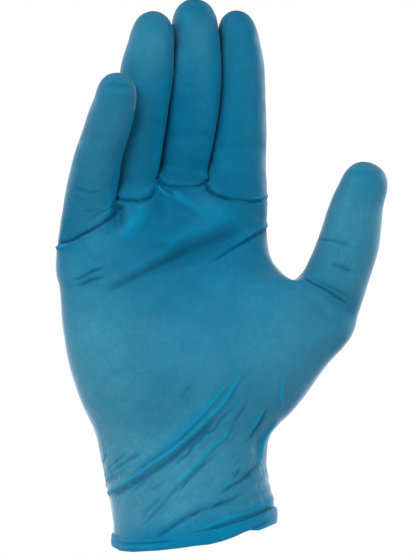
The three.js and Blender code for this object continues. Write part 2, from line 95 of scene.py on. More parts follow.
# A finger's centre line: x, y, z, width and depth. The last row is its tip's top.
LITTLE = (
    (-45.6, -5.6, 144.2, 21.8, 19.6),
    (-43.4, -9.8, 155.5, 21.4, 18.9),
    (-41.1, -13.2, 165.1, 20.0, 18.2),
    (-38.8, -16.4, 171.7, 20.0, 18.2),
    (-36.5, -19.4, 178.7, 19.8, 17.6),
    (-34.4, -22.4, 185.6, 18.5, 16.2),
    (-32.4, -26.2, 197.8, 0, 0),
)
RING = (
    (-24.9, -0.6, 152.8, 19.8, 18.8),
    (-24.0, -3.6, 166.4, 21.2, 19.2),
    (-23.1, -5.4, 177.8, 21.4, 19.3),
    (-22.1, -6.6, 188.8, 22.0, 19.1),
    (-20.9, -7.6, 200.4, 22.7, 18.4),
    (-19.2, -8.4, 209.0, 20.4, 17.4),
    (-16.6, -9.2, 225.0, 0, 0),
)
MIDDLE = (
    (-4.6, 3.2, 157.4, 21.8, 19.8),
    (-3.2, 1.4, 166.6, 22.0, 19.2),
    (-1.9, 0.4, 174.7, 22.2, 19.2),
    (-0.4, -0.6, 187.4, 22.4, 19.0),
    (0.3, -1.6, 200.5, 22.2, 18.4),
    (0.4, -2.3, 214.4, 21.4, 17.4),
    (-0.4, -3.2, 230.7, 0, 0),
)
INDEX = (
    (18.9, 5.6, 157.3, 25.4, 21.2),
    (19.6, 5.8, 168.2, 24.4, 20.4),
    (20.4, 5.6, 181.3, 22.4, 19.6),
    (20.6, 5.2, 194.0, 21.3, 18.5),
    (20.4, 4.4, 202.3, 20.6, 17.8),
    (19.6, 3.7, 209.4, 19.2, 17.0),
    (17.6, 2.6, 225.8, 0, 0),
)
THUMB = (
    (61.4, -5.4, 107.0, 28.8, 26.0),
    (64.5, -6.8, 115.4, 27.8, 24.2),
    (67.2, -8.2, 123.4, 27.3, 23.0),
    (69.1, -9.4, 131.6, 25.7, 22.0),
    (70.7, -10.6, 139.6, 23.8, 20.4),
    (73.0, -11.8, 146.0, 21.6, 18.4),
    (77.8, -13.0, 158.7, 0, 0),
)
MOUND_COLUMNS = "x z reach_x reach_z height"
MOUNDS = (
    (36, 72, 22, 30, 3.4),
    (-38, 72, 15, 30, 2.2),
    (-6, 98, 22, 26, -3.6),
)


def named(columns, rows):
    """A table's rows as dictionaries, from its column names."""
    return [dict(zip(columns.split(), row)) for row in rows]


def curve(places, rows, at):
    """The row of a table at a place between its rows, on a smooth curve through them."""
    last = len(places) - 1
    i = min(max(int(np.searchsorted(places, at, side="right")) - 1, 0), last - 1)

    def slope(k):
        a, b = max(k - 1, 0), min(k + 1, last)
        return (rows[b] - rows[a]) / (places[b] - places[a])

    span = places[i + 1] - places[i]
    t = min(max((at - places[i]) / span, 0.0), 1.0)
    ends = (2 * t**3 - 3 * t**2 + 1) * rows[i] + (3 * t**2 - 2 * t**3) * rows[i + 1]
    return ends + span * ((t**3 - 2 * t**2 + t) * slope(i) + (t**3 - t**2) * slope(i + 1))


def even_places(length, step):
    return np.linspace(0, length, round(length / step) + 1)


FINGER_NAMES = ("little", "ring", "middle", "index", "thumb")
points, parts, patches = [], [], []
side_steps = [(i + 1) / ROUND_SIDE for i in range(ROUND_SIDE - 1)]


def add_point(p, finger=None, share=1.0):
    """A point of the net, which belongs to a finger by a share."""
    points.append(np.array(p, float))
    parts.append([share if name == finger else 0.0 for name in FINGER_NAMES])
    return len(points) - 1


def round_ring(ring):
    return ring["front"] + ring["right"] + ring["back"][::-1] + ring["left"][::-1]


def stitch(lower, upper):
    low, high = round_ring(lower), round_ring(upper)
    for i in range(len(low)):
        k = (i + 1) % len(low)
        patches.append((low[i], low[k], high[k], high[i]))


def slab_ring(row, columns, cup):
    """A ring of the cuff, wrist or palm. columns gives x and the heights in front and behind."""
    middle, half = (row["left_x"] + row["right_x"]) / 2, (row["right_x"] - row["left_x"]) / 2
    centre, deep = (row["front"] + row["back"]) / 2, (row["back"] - row["front"]) / 2
    square = row["square"]

    def point(share, side, z):
        depth = deep * max(1 - abs(share) ** square, 0) ** (1 / square)
        x = middle + share * half
        y = centre - cup * share * share * (CUP_LEFT if share < 0 else CUP_RIGHT) + side * depth
        if side < 0:
            for m in named(MOUND_COLUMNS, MOUNDS):
                across, up = (x - m["x"]) / m["reach_x"], (z - m["z"]) / m["reach_z"]
                y -= m["height"] * math.exp(-across * across - up * up)
        return add_point((x, y, z + row.get("sag", 0) * side * depth / deep))

    shares = [min(max((x - middle) / half, -SIDE_AT), SIDE_AT) for x, _, _ in columns]
    turn = math.acos(SIDE_AT ** (square / 2))

    def round_side(sign, z):
        angles = [turn * (1 - 2 * step) for step in side_steps]
        return [point(sign * math.cos(a) ** (2 / square), 1 if a < 0 else -1, z) for a in angles]

    (_, low_front, low_back), (_, high_front, high_back) = columns[0], columns[-1]
    return {
        "front": [point(s, -1, c[1]) for s, c in zip(shares, columns)],
        "back": [point(s, 1, c[2]) for s, c in zip(shares, columns)],
        "left": round_side(-1, (low_front + low_back) / 2),
        "right": round_side(1, (high_front + high_back) / 2),
    }


def lerp(a, b, t):
    return a + (b - a) * t


palm_top = named(PALM_TABLE_COLUMNS, PALM)[-1]
palm_left, palm_right = palm_top["left_x"], palm_top["right_x"]
creases = named(CREASE_COLUMNS, CREASES)
top_shares = [0] + [(crease["right_x"] - palm_left) / (palm_right - palm_left) for crease in creases]


def finger_place(column):
    finger = min(column // PER_FINGER, 3)
    return finger, (column - finger * PER_FINGER) / PER_FINGER


def column_share(column, up):
    """Where a column stands across the palm: evenly at the wrist, and as the fingers lie at the top."""
    finger, within = finger_place(column)
    return lerp(column / PALM_COLUMNS, lerp(top_shares[finger], top_shares[finger + 1], within), up)


def crease_heights(column):
    finger, within = finger_place(column)
    left, middle, right = (creases[finger][place] for place in ("left", "middle", "right"))
    level = lerp(left, right, within)
    front = level + 4 * (middle - (left + right) / 2) * within * (1 - within)
    return front, level - WEB_FALL * (1 - WEB_ARCH * within * (1 - within))


def web_points(front, back, sink):
    """Points from the front of a gap between two fingers to its back."""
    a, b = points[front], points[back]
    return [add_point(lerp(a, b, s) - (0, 0, 4 * s * (1 - s) * sink)) for s in side_steps]


body_rows = np.array(BODY)
reach = np.hypot(*np.diff(body_rows[:, :2], axis=0).T) + np.diff(body_rows[:, 3])
body_places = np.concatenate([[0], np.cumsum(reach / 2)])
body_rings = []
for place in even_places(body_places[-1], ROW_STEP):
    row = dict(zip(BODY_COLUMNS.split(), curve(body_places, body_rows, place)))
    up = place / body_places[-1]
    columns = []
    for i in range(PALM_COLUMNS + 1):
        share = column_share(i, up * up * PARTED)
        z = lerp(row["left_z"], row["web_z"], share)
        columns.append((lerp(row["left_x"], row["web_x"], share), z, z))
    for i in range(1, PER_THUMB + 1):
        z = lerp(row["web_z"], row["right_z"], i / PER_THUMB)
        columns.append((lerp(row["web_x"], row["right_x"], i / PER_THUMB), z, z))
    body_rings.append(slab_ring(row, columns, up))
for lower, upper in zip(body_rings, body_rings[1:]):
    stitch(lower, upper)

split = body_rings[-1]
thumb_web = web_points(split["front"][PALM_COLUMNS], split["back"][PALM_COLUMNS], THUMB_WEB_SINK)
palm_ring = {
    "front": split["front"][: PALM_COLUMNS + 1],
    "right": thumb_web,
    "back": split["back"][: PALM_COLUMNS + 1],
    "left": split["left"],
}
thumb_base = {
    "front": split["front"][PALM_COLUMNS:],
    "right": split["right"],
    "back": split["back"][PALM_COLUMNS:],
    "left": thumb_web,
}
palm_rows = np.array(PALM)
palm_floor = [(points[a][2], points[b][2]) for a, b in zip(palm_ring["front"], palm_ring["back"])]
for height in np.linspace(0, 1, PALM_RINGS + 1)[1:]:
    row = dict(zip(PALM_TABLE_COLUMNS.split(), curve(palm_rows[:, 0], palm_rows, height)))
    columns = []
    for c in range(PALM_COLUMNS + 1):
        share = column_share(c, lerp(PARTED, 1, height))
        x = lerp(row["left_x"], row["right_x"], share)
        front, back = (lerp(low, top, height) for low, top in zip(palm_floor[c], crease_heights(c)))
        columns.append((x, front, back))
    above = slab_ring(row, columns, 1)
    stitch(palm_ring, above)
    palm_ring = above


def finger_ring(at, along, width, depth, columns, finger):
    across = np.array((along[2], 0, -along[0]))
    across /= np.linalg.norm(across)
    backward = np.cross(along, across)
    step = 2 * math.pi / (2 * columns + 2 * ROUND_SIDE)

    def point(turns):
        side, out = math.sin(turns * step) * width / 2, -math.cos(turns * step) * depth / 2
        return add_point(at + across * side + backward * out, finger)

    half = columns / 2
    return {
        "front": [point(i - half) for i in range(columns + 1)],
        "right": [point(half + i + 1) for i in range(ROUND_SIDE - 1)],
        "back": [point(half + ROUND_SIDE + columns - i) for i in range(columns + 1)],
        "left": [point(-half - i - 1) for i in range(ROUND_SIDE - 1)],
    }


def tip_profile(share):
    return max(1 - share**TIP_SQUARE, 0) ** (1 / TIP_SQUARE)


def close_tip(ring, columns, shoulder, to_tip, finger):
    """Closes a fingertip with a patch that is lifted onto the finger's round end."""
    centre, radius = shoulder[:3], (shoulder[3] + shoulder[4]) / 4
    up = to_tip / np.linalg.norm(to_tip)
    grid = [ring["front"]]
    for r in range(1, ROUND_SIDE):
        left, right = points[ring["left"][r - 1]], points[ring["right"][r - 1]]
        line = [ring["left"][r - 1]]
        for c in range(1, columns):
            edge = lerp(points[ring["front"][c]], points[ring["back"][c]], r / ROUND_SIDE)
            side = (lerp(left, right, c / columns) + edge) / 2 - centre
            side -= up * side.dot(up)
            lift = tip_profile(min(np.linalg.norm(side) / radius, 1))
            line.append(add_point(centre + side + to_tip * lift, finger))
        grid.append(line + [ring["right"][r - 1]])
    grid.append(ring["back"])
    for r in range(ROUND_SIDE):
        for c in range(columns):
            patches.append((grid[r][c], grid[r][c + 1], grid[r + 1][c + 1], grid[r + 1][c]))


def grow_finger(table, base, columns, finger):
    """Full rings along a finger's centre line, and then its round tip."""
    rows, tip = np.array(table[:-1], float), np.array(table[-1][:3], float)
    steps = np.linalg.norm(np.diff(rows[:, :3], axis=0), axis=1)
    places = np.concatenate([[0], np.cumsum(steps)])
    rings = []
    for place in even_places(places[-1], ROW_STEP):
        row = curve(places, rows, place)
        after = curve(places, rows, min(place + 1, places[-1]))
        along = (after - curve(places, rows, max(place - 1, 0)))[:3]
        along /= np.linalg.norm(along)
        rings.append(finger_ring(row[:3], along, row[3], row[4], columns, finger))
    shoulder = rows[-1]
    to_tip = tip - shoulder[:3]
    for share in TIP_RINGS:
        wide, deep = shoulder[3:] * tip_profile(share)
        at, along = shoulder[:3] + to_tip * share, to_tip / np.linalg.norm(to_tip)
        rings.append(finger_ring(at, along, wide, deep, columns, finger))
    start = []
    for share in (1 / 3, 2 / 3):
        between = {}
        for side, corners in base.items():
            pairs = zip(corners, rings[0][side])
            between[side] = [add_point(lerp(points[a], points[b], share), finger, share) for a, b in pairs]
        start.append(between)
    rings = [base, *start, *rings]
    for lower, upper in zip(rings, rings[1:]):
        stitch(lower, upper)
    close_tip(rings[-1], columns, shoulder, to_tip, finger)


webs = []
for i in (1, 2, 3):
    column = i * PER_FINGER
    points[palm_ring["front"][column]][1] += WEB_RECESS
    webs.append(web_points(palm_ring["front"][column], palm_ring["back"][column], -WEB_RISE))
for i, (finger, table) in enumerate(zip(FINGER_NAMES, (LITTLE, RING, MIDDLE, INDEX))):
    span = slice(i * PER_FINGER, (i + 1) * PER_FINGER + 1)
    base = {
        "front": palm_ring["front"][span],
        "right": webs[i] if i < 3 else palm_ring["right"],
        "back": palm_ring["back"][span],
        "left": webs[i - 1] if i else palm_ring["left"],
    }
    grow_finger(table, base, PER_FINGER, finger)
grow_finger(THUMB, thumb_base, PER_THUMB, "thumb")

net = np.array(points)
quads = np.array(patches)
edges = np.concatenate([quads[:, [i, (i + 1) % 4]] for i in range(4)])
edges = np.unique(np.sort(edges, axis=1), axis=0)
mouth = round_ring(body_rings[0])
# The net is evened out once, and then blown up by as much as the subdivision will shrink it.
EVENED, BLOWN_UP = 0.3, -0.45
for share in (EVENED, BLOWN_UP):
    total, count = np.zeros_like(net), np.zeros(len(net))
    for a, b in (edges.T, edges.T[::-1]):
        np.add.at(total, a, net[b])
        np.add.at(count, a, 1)
    moved = net + share * (total / count[:, None] - net)
    moved[mouth] = net[mouth]
    net = moved


def put_in_scene(name, data):
    made = bpy.data.objects.new(name, data)
    bpy.context.collection.objects.link(made)
    return made


def add_value(mesh, name, value):
    """Gives each point of a mesh a number for the material."""
    mesh.attributes.new(name, "FLOAT", "POINT").data.foreach_set("value", value)


def subdivided(name, levels):
    """The net as a rounded mesh, which holds for each finger how far a point belongs to it."""
    mesh = bpy.data.meshes.new(name)
    mesh.from_pydata((net * MM).tolist(), [], quads.tolist())
    for finger, share in zip(FINGER_NAMES, np.array(parts).T):
        add_value(mesh, finger, share)
    holder = put_in_scene(name, mesh)
    rounding = holder.modifiers.new("rounding", "SUBSURF")
    rounding.levels = levels
    rounding.boundary_smooth = "ALL"
    fine = bpy.data.meshes.new_from_object(holder.evaluated_get(bpy.context.evaluated_depsgraph_get()))
    bpy.data.objects.remove(holder)
    return fine


def read(mesh):
    """A mesh's points in millimetres, its normals, and each point's share of each finger."""
    count = len(mesh.vertices)
    where, normal, share = np.empty(count * 3), np.empty(count * 3), np.empty(count)
    mesh.vertices.foreach_get("co", where)
    mesh.vertex_normals.foreach_get("vector", normal)
    shares = {}
    for finger in FINGER_NAMES:
        mesh.attributes[finger].data.foreach_get("value", share)
        shares[finger] = share.copy()
    return where.reshape(-1, 3) / MM, normal.reshape(-1, 3), shares


# Where the film bunches, for each side of the glove, on one finger or everywhere. Each fold runs through
# its points (x, z, in millimetres), and starts and ends are the shares of its length over which it fades
# in and out. A ridge stands up, a crease is cut in with a thin lip on its right, a pleat is a ridge that
# drops steeply on its right, and a trough is a soft hollow.
FOLD_COLUMNS = "form width height starts ends line"
FOLDS = {
    ("palm", None): (
        # finger bases
        ("crease", 0.75, 1.1, 0, 0.12, ((-61.7, 123.6), (-59.8, 123.7), (-53.6, 125.2), (-48.5, 127.8),
         (-42.6, 131), (-39, 133.4), (-37, 135.4))),
        ("crease", 1, 1.7, 0.1, 0.25, ((-34.1, 142), (-34.4, 139.1), (-35.4, 136.5), (-37.3, 134.5),
         (-39.7, 133))),
        ("ridge", 2.8, 0.7, 0.35, 0.3, ((-37, 147.4), (-36.8, 142.6), (-37.7, 138.2), (-40.8, 134.8))),
        ("crease", 0.6, 0.2, 0.2, 0.4, ((-57, 126), (-52, 127), (-47.3, 128.6), (-42.3, 131.2))),
        ("ridge", 1, 0.7, 0, 0.5, ((-61.9, 121.9), (-58.7, 122.3), (-53.4, 123.4))),
        ("crease", 0.75, 1.3, 0.05, 0.05, ((-34.6, 143.4), (-30.3, 142.8), (-23.7, 142.4), (-19.4, 143.9),
         (-17.6, 146.5), (-16.6, 149.4))),
        ("crease", 0.75, 1.3, 0.05, 0.05, ((-16.7, 152.2), (-13.2, 149.9), (-8.9, 148.4), (-2.8, 148.3),
         (1.6, 148.9), (5.1, 150.8))),
        ("trough", 0.8, 0.7, 0.1, 0.4, ((4.7, 149.4), (5.2, 150.9), (6, 152.9))),
        ("crease", 0.75, 1.3, 0.05, 0, ((5.1, 151), (6, 148), (8.6, 145.8), (13.4, 143.6), (20, 142.3),
         (26.5, 142.2), (32.8, 143.3))),
        ("ridge", 0.9, 0.95, 0.5, 0, ((22, 143.6), (27.5, 143.4), (33.4, 144.4))),
        ("ridge", 1.5, 0.3, 0.3, 0.4, ((8.6, 142.6), (13.8, 140.4), (20, 139.8), (25.2, 140.2),
         (29.6, 141.3))),
        ("trough", 1, 0.7, 0.1, 0.4, ((4.9, 150.9), (6.2, 147.4), (8.6, 144.6), (12.1, 142.8))),
        ("crease", 0.6, 0.6, 0, 0.4, ((-16.6, 150.8), (-12.8, 147.6), (-9.7, 145.7), (-7, 143))),
        ("pleat", 0.7, 0.5, 0.1, 0.5, ((-16.3, 149), (-13.2, 145.6), (-10.7, 143.1))),
        # between the finger bases
        ("ridge", 3.6, 1.6, 0.25, 0.5, ((-20.2, 143.1), (-22.8, 138.7), (-25.5, 133.4), (-29, 127.3),
         (-35.5, 122.1))),
        ("trough", 2, 3.2, 0.15, 0.55, ((-33.3, 141.7), (-33.1, 138.2), (-33.3, 133.9), (-32.5, 128.2))),
        ("trough", 1.8, 0.5, 0.2, 0.5, ((-27.6, 141.3), (-25.9, 136.9), (-25, 131.7))),
        ("trough", 3, 1.4, 0.1, 0.6, ((-16.7, 145.7), (-15.4, 140.4), (-13.7, 135.2), (-11.5, 129.5))),
        ("ridge", 2, 1.5, 0.2, 0.35, ((-11.1, 147.4), (-6.7, 143.9), (-1.9, 140.9), (2.9, 137.8),
         (7.3, 133.9), (10.4, 129.5))),
        ("ridge", 3.2, 0.7, 0.4, 0.4, ((0.7, 143.9), (7.7, 140), (10.8, 134.8), (9.5, 129.1))),
        ("ridge", 1.5, 0.3, 0.3, 0.5, ((16.9, 140), (17.3, 136.9), (18.2, 132.6))),
        ("ridge", 1.5, 0.35, 0.4, 0.5, ((10.8, 141.7), (13, 137.4), (13.8, 133))),
        # across the palm
        ("crease", 1, 0.9, 0.6, 0, ((-1.9, 109), (4.7, 113.8), (10.4, 117.5), (15.6, 121), (21.3, 124.1),
         (26.5, 127.3), (32, 130.2))),
        ("ridge", 1.5, 1.1, 0.5, 0, ((9.5, 118.2), (13.8, 120.3), (17.8, 123), (22.1, 126), (26.5, 129.3),
         (32, 131.7))),
        ("trough", 1.6, 0.5, 0.3, 0.4, ((31.8, 137.4), (29.1, 133.9), (26.1, 131.3), (21.7, 128.6))),
        ("trough", 4, 2.2, 0.25, 0.45, ((24.3, 128.6), (15.6, 126), (4.7, 121.6), (-6.2, 116.8),
         (-15.9, 112.7), (-23.7, 109.4))),
        ("trough", 1.7, 1.5, 0.35, 0.2, ((1.6, 123), (-6.2, 117.7), (-16.3, 113.1), (-25, 109),
         (-33.8, 105.1), (-40.8, 102.2))),
        ("ridge", 2.2, 0.8, 0.3, 0.3, ((-4.9, 122.5), (-16.3, 118.2), (-22.4, 115.1), (-28.1, 111.4),
         (-34.6, 107.2))),
        ("ridge", 4, 0.9, 0.3, 0.4, ((-24, 120), (-12, 124), (4, 130), (16, 135), (28, 138))),
        ("trough", 2.6, 0.6, 0.4, 0.4, ((-30, 117), (-20, 119), (-8, 124.5))),
        ("crease", 0.8, 0.5, 0.35, 0.3, ((-56, 107), (-49.9, 108.6), (-44.8, 111.4), (-41.2, 112.7),
         (-38.1, 112.3), (-36.4, 111.2))),
        ("crease", 0.8, 0.5, 0.35, 0.3, ((-53.9, 105.2), (-48.5, 106.1), (-44.1, 107.9), (-39.7, 109.1),
         (-36.4, 110.8))),
        ("ridge", 1.5, 0.4, 0.3, 0.3, ((-51.7, 106.7), (-44.7, 109.6), (-39, 111))),
        ("ridge", 3.4, 0.5, 0.5, 0.5, ((-31.6, 90.6), (-22.8, 94.1), (-14.1, 98.5), (-6.2, 104.6))),
        ("ridge", 2.6, 0.3, 0.5, 0.5, ((-10.6, 76.7), (-1.9, 81.9), (5.1, 88))),
        # up from the cuff
        ("ridge", 0.95, 1.05, 0, 0.15, ((-37.7, 14.8), (-36.3, 15.8), (-33, 17.7), (-27.5, 21),
         (-22.1, 24.5), (-16.6, 28.7), (-11.1, 32.5), (-7.3, 35.7), (-3, 39.3), (4.7, 46.4), (12.9, 54.6),
         (18.9, 64.4), (23.9, 70.1))),
        ("crease", 0.75, 0.5, 0.3, 0.35, ((-31.4, 20.5), (-23.2, 25.9), (-18.3, 29.5), (-13.9, 32.6),
         (-8.4, 36.5), (-3, 41.1), (2.5, 46.7), (7.7, 52.2))),
        ("ridge", 0.85, 0.6, 0.35, 0.15, ((-15, 33.2), (-8.4, 38), (-4.1, 41.9), (-0.8, 45.2),
         (4.7, 50.9), (9.5, 56.6), (15.2, 63.6))),
        ("trough", 1.3, 0.6, 0.05, 0.25, ((-35.7, 13.8), (-27.6, 18.8), (-19.4, 23.6), (-13.9, 27.3),
         (-8.4, 31.4), (-1.9, 37.1), (3.4, 41.9), (9, 47.4), (14.7, 53.5))),
        ("ridge", 4, 0.8, 0.2, 0.3, ((-30.3, 20.7), (-19.4, 28.6), (-8.4, 38.7), (-1, 46.1), (6.9, 53.9),
         (14.3, 60.9))),
        ("crease", 0.8, 0.43, 0, 0.35, ((-38.8, 23.4), (-37.9, 24.5), (-34.1, 28.4), (-30.3, 31.7),
         (-27.5, 33.3))),
        ("ridge", 0.9, 0.43, 0, 0.35, ((-39.1, 22.7), (-36.8, 24.7), (-32.9, 27.7), (-29, 30.4))),
        ("crease", 0.8, 0.43, 0.1, 0.35, ((-37.3, 22.7), (-34.1, 25.6), (-28.6, 29.5), (-23.2, 32.2),
         (-19.4, 34.4))),
        ("ridge", 0.9, 0.43, 0, 0.35, ((-38.8, 20.3), (-35.5, 23.2), (-31.6, 25.6), (-27.2, 28.4))),
        ("crease", 0.8, 0.3, 0, 0.35, ((-38.4, 18.8), (-35.5, 21), (-31.6, 23.4))),
        ("crease", 0.8, 0.35, 0, 0.35, ((-39.4, 29), (-38.8, 30.4), (-37.5, 33))),
        ("crease", 0.8, 0.48, 0.35, 0.35, ((-15.5, 19.1), (-10.6, 24.5), (-6.2, 29.5), (-2.4, 32.2),
         (-0.8, 35.5), (2.5, 38.2), (4.7, 40.8), (8.6, 43), (11.7, 47.4), (15.6, 50.9), (20, 54.6),
         (24.3, 60.5))),
        ("ridge", 2.4, 0.52, 0.35, 0.35, ((-7.1, 28.2), (-1.4, 33.9), (4.7, 40.4), (13, 47), (20, 53.9),
         (23.9, 60.1))),
        ("ridge", 0.8, 0.65, 0.35, 0.35, ((-12.8, 12.5), (-8.4, 17.5), (-3, 22.9), (2.5, 28.9),
         (6.4, 33.9), (13, 39.5), (16.5, 45.2), (20, 50.9), (22.6, 55.3))),
        ("crease", 0.8, 0.52, 0.35, 0.35, ((-10.6, 11.6), (-6.2, 16.4), (-1, 22.7), (4.7, 28),
         (9.5, 30.8), (12.1, 31.7))),
        ("crease", 0.8, 0.43, 0.35, 0.35, ((13.4, 38.2), (16, 43.9), (20, 50), (22.6, 54.4),
         (24.8, 58.7))),
        ("crease", 0.8, 0.3, 0.35, 0.35, ((-28.6, 14.2), (-22.6, 19.1), (-18.5, 22.1))),
        ("crease", 0.8, 0.3, 0.35, 0.35, ((-20.4, 15.3), (-15, 18.6), (-12.2, 21.8))),
        ("crease", 0.8, 0.52, 0.35, 0.35, ((8.6, 12.4), (15.6, 17.7), (22.1, 21.6), (26.5, 24),
         (29.6, 26.4))),
        ("ridge", 0.9, 0.52, 0.35, 0.35, ((9.5, 14.9), (16, 19.9), (20, 22.5))),
        ("crease", 0.8, 0.48, 0.35, 0.35, ((15.2, 19.7), (19.1, 24), (20.6, 27.3))),
        ("crease", 0.8, 0.48, 0.35, 0.35, ((20, 20.7), (23.9, 23.8), (26.5, 26.2), (28.7, 29.5))),
        ("ridge", 0.8, 0.61, 0.35, 0.35, ((20, 35.2), (23.9, 41.7), (27, 46.1), (30.4, 52.6),
         (31.3, 56.6))),
        ("crease", 0.8, 0.52, 0.35, 0.35, ((21.3, 34.3), (25, 40.6), (28.3, 45.4), (31.5, 51.8),
         (32.4, 56.1))),
        ("ridge", 1.5, 0.3, 0.35, 0.35, ((21.3, 33.9), (23, 32.5), (26.1, 32.1), (28.3, 30.4))),
        ("ridge", 0.8, 0.87, 0.35, 0.1, ((24.8, 25.1), (28.7, 29.5), (29.6, 35.6), (31.3, 40.6),
         (33.1, 43), (36.6, 47))),
        ("trough", 1.5, 0.45, 0.35, 0.35, ((22.6, 26.4), (26.5, 29.9), (27.4, 36), (28.3, 41.7),
         (29.6, 47))),
        ("crease", 0.8, 0.25, 0.35, 0.1, ((27.8, 24.7), (30, 29), (30.9, 34.7), (32.6, 39.1))),
        ("ridge", 1.5, 0.7, 0.6, 0, ((20, 17.3), (24.3, 19.9), (28.7, 22.5), (32.2, 24.9))),
        ("ridge", 1.5, 0.7, 0.6, 0, ((18.2, 11.1), (23.5, 13.8), (28.7, 16.2), (33.5, 18.3))),
        ("ridge", 1.6, 0.8, 0.5, 0, ((18.2, 6.3), (23.5, 8.1), (29.6, 10.5), (34.6, 13.3))),
        ("ridge", 1, 0.61, 0.35, 0.35, ((38.5, 68.4), (38.5, 64.4), (37.9, 55.7), (39, 50.2))),
        ("crease", 0.8, 0.3, 0.35, 0.35, ((1.4, 64.4), (-3, 60.1), (-7.3, 54.6))),
        ("crease", 0.95, 0.8, 0.05, 0.35, ((-17.2, -4.6), (-16.3, -3.9), (-11.9, -1.3), (-5.4, 3.3),
         (2.1, 7), (8.6, 9.6), (15.6, 11.8), (21.3, 15.1), (27, 17.7))),
        ("ridge", 0.8, 0.4, 0.3, 0.3, ((-25.5, -1.5), (-21.5, 3.1), (-15, 10.7), (-8.4, 17.7),
         (-2.8, 23.8), (2.5, 29.9))),
        ("crease", 0.8, 0.4, 0.3, 0.3, ((-24.2, -1.5), (-20.2, 2.8), (-13.7, 10.5), (-7.1, 17.5),
         (-1.4, 23.4))),
        ("ridge", 0.9, 0.35, 0.35, 0.35, ((-15, -0.7), (-8.4, 4.1), (-1.9, 8.1), (5.1, 11.4),
         (12.1, 14.6))),
        ("ridge", 0.9, 0.52, 0.35, 0.1, ((-4.1, -3.5), (5.4, 0.5), (17.1, 4.5), (25.4, 7.2), (31.2, 10.5),
         (34.6, 13.8))),
        ("crease", 0.8, 0.48, 0.35, 0.1, ((-1.9, -4.6), (7.7, -0.7), (18.2, 2.6), (26.1, 5.2),
         (31.8, 8.3), (35, 11.1))),
        ("pleat", 0.8, 0.35, 0.35, 0.35, ((-1.2, 3.4), (4.7, 7.2), (8.6, 10.3), (11.7, 13.3))),
        ("ridge", 1.2, 0.35, 0.35, 0.35, ((2.5, 2.4), (8.6, 5.5), (14.7, 7.2))),
        ("ridge", 1, 0.35, 0.35, 0.35, ((10.4, 2.8), (16.9, 6.3), (23, 9))),
        ("crease", 0.8, 0.35, 0.35, 0.35, ((-24.6, -0.7), (-21.2, 5.9), (-17.2, 10.3), (-13.7, 13.3),
         (-9.7, 17.3))),
        # thumb
        ("crease", 0.75, 0.75, 0.1, 0.25, ((47, 109.6), (48.4, 108.6), (52, 106.4), (56.2, 104),
         (60.6, 101.1), (65.8, 97.8), (68.9, 95.9))),
        ("crease", 0.75, 0.35, 0.2, 0.25, ((49.7, 109.9), (53.2, 107.8), (57.5, 105.5), (62.8, 102.9),
         (67.6, 100), (70.6, 98.5))),
        ("ridge", 1.6, 0.4, 0.3, 0.4, ((47.5, 107.7), (51.4, 104.6), (57.1, 100.9), (63.6, 97.2))),
        ("crease", 0.8, 0.42, 0, 0.3, ((54, 125.8), (60, 124.8), (65, 123.4), (69.3, 121.6))),
        ("ridge", 0.8, 0.2, 0.2, 0.4, ((54.9, 124.3), (60, 123.4), (65.4, 121.9))),
        ("crease", 0.8, 0.4, 0.3, 0.3, ((57.5, 115.5), (62.8, 113.9), (67.1, 112.3), (71.5, 110.3))),
        ("crease", 0.8, 0.3, 0.3, 0.3, ((59.3, 113.3), (64.5, 112), (68.9, 110.7))),
        ("ridge", 1.5, 0.75, 0.3, 0.3, ((65.8, 154.8), (69.8, 155.1), (72.8, 156.2), (75, 155.7),
         (77.6, 154))),
        ("trough", 1.6, 0.6, 0.3, 0.3, ((67.1, 153.1), (71.5, 153.5), (75, 154))),
        ("trough", 2.4, 0.9, 0.4, 0.4, ((50.5, 98.1), (55.8, 93.3), (61.9, 87.1))),
    ),
    ("palm", "little"): (
        ("trough", 1.5, 0.75, 0.4, 0.3, ((-42.1, 189.8), (-39.4, 191.3), (-35.9, 192), (-32, 191.3),
         (-28.1, 191.8))),
        ("trough", 1.5, 0.5, 0.4, 0.4, ((-35.9, 195.5), (-33.3, 193.1), (-30.7, 192.6))),
        ("ridge", 1.6, 0.9, 0.3, 0.3, ((-36.8, 196.8), (-34.2, 195.2), (-31.1, 193.9), (-27.6, 193.5))),
        ("ridge", 0.75, 0.3, 0.2, 0.35, ((-51.7, 149.6), (-48.2, 148.4), (-44.7, 147.5), (-40.3, 147.6))),
        ("crease", 0.75, 0.4, 0.2, 0.35, ((-52.1, 148.3), (-50.4, 147.6), (-46.3, 146.2), (-42.5, 146.2),
         (-39, 146.4))),
        ("crease", 0.5, 0.35, 0.2, 0.4, ((-53.5, 144.8), (-49, 143), (-44.5, 143.4))),
        ("crease", 0.5, 0.35, 0.3, 0.3, ((-48.8, 138.2), (-45, 137.4), (-41.6, 136.1))),
        ("ridge", 0.5, 0.35, 0.3, 0.3, ((-37, 158.8), (-36, 155.4), (-36.4, 152.6), (-38, 151))),
        ("crease", 0.5, 0.3, 0.3, 0.3, ((-41, 155), (-37.6, 153), (-35, 153))),
        ("trough", 2.2, 0.4, 0.1, 0.1, ((-48.5, 171), (-41.5, 169.2), (-32, 171))),
    ),
    ("palm", "middle"): (
        ("crease", 0.7, 0.2, 0.4, 0.4, ((-4.9, 193.2), (-1, 191.1))),
        ("crease", 0.7, 0.15, 0.4, 0.4, ((-1.2, 193.4), (-3.2, 190.4))),
        ("crease", 0.7, 0.15, 0.4, 0.4, ((-9, 201), (-6.4, 197), (-4.6, 192.6))),
        ("crease", 0.5, 0.25, 0.3, 0.3, ((0.5, 190.5), (3.4, 187.4), (5.4, 183.8))),
        ("trough", 2.4, 0.4, 0.1, 0.1, ((-13, 171.2), (-3, 170.2), (9, 171.5))),
    ),
    ("palm", "index"): (
        ("trough", 2.4, 0.5, 0.3, 0.3, ((17, 214.4), (22, 215.6), (26, 213.4))),
        ("trough", 2.4, 0.4, 0.1, 0.1, ((8, 166), (20, 164.8), (32, 166))),
    ),
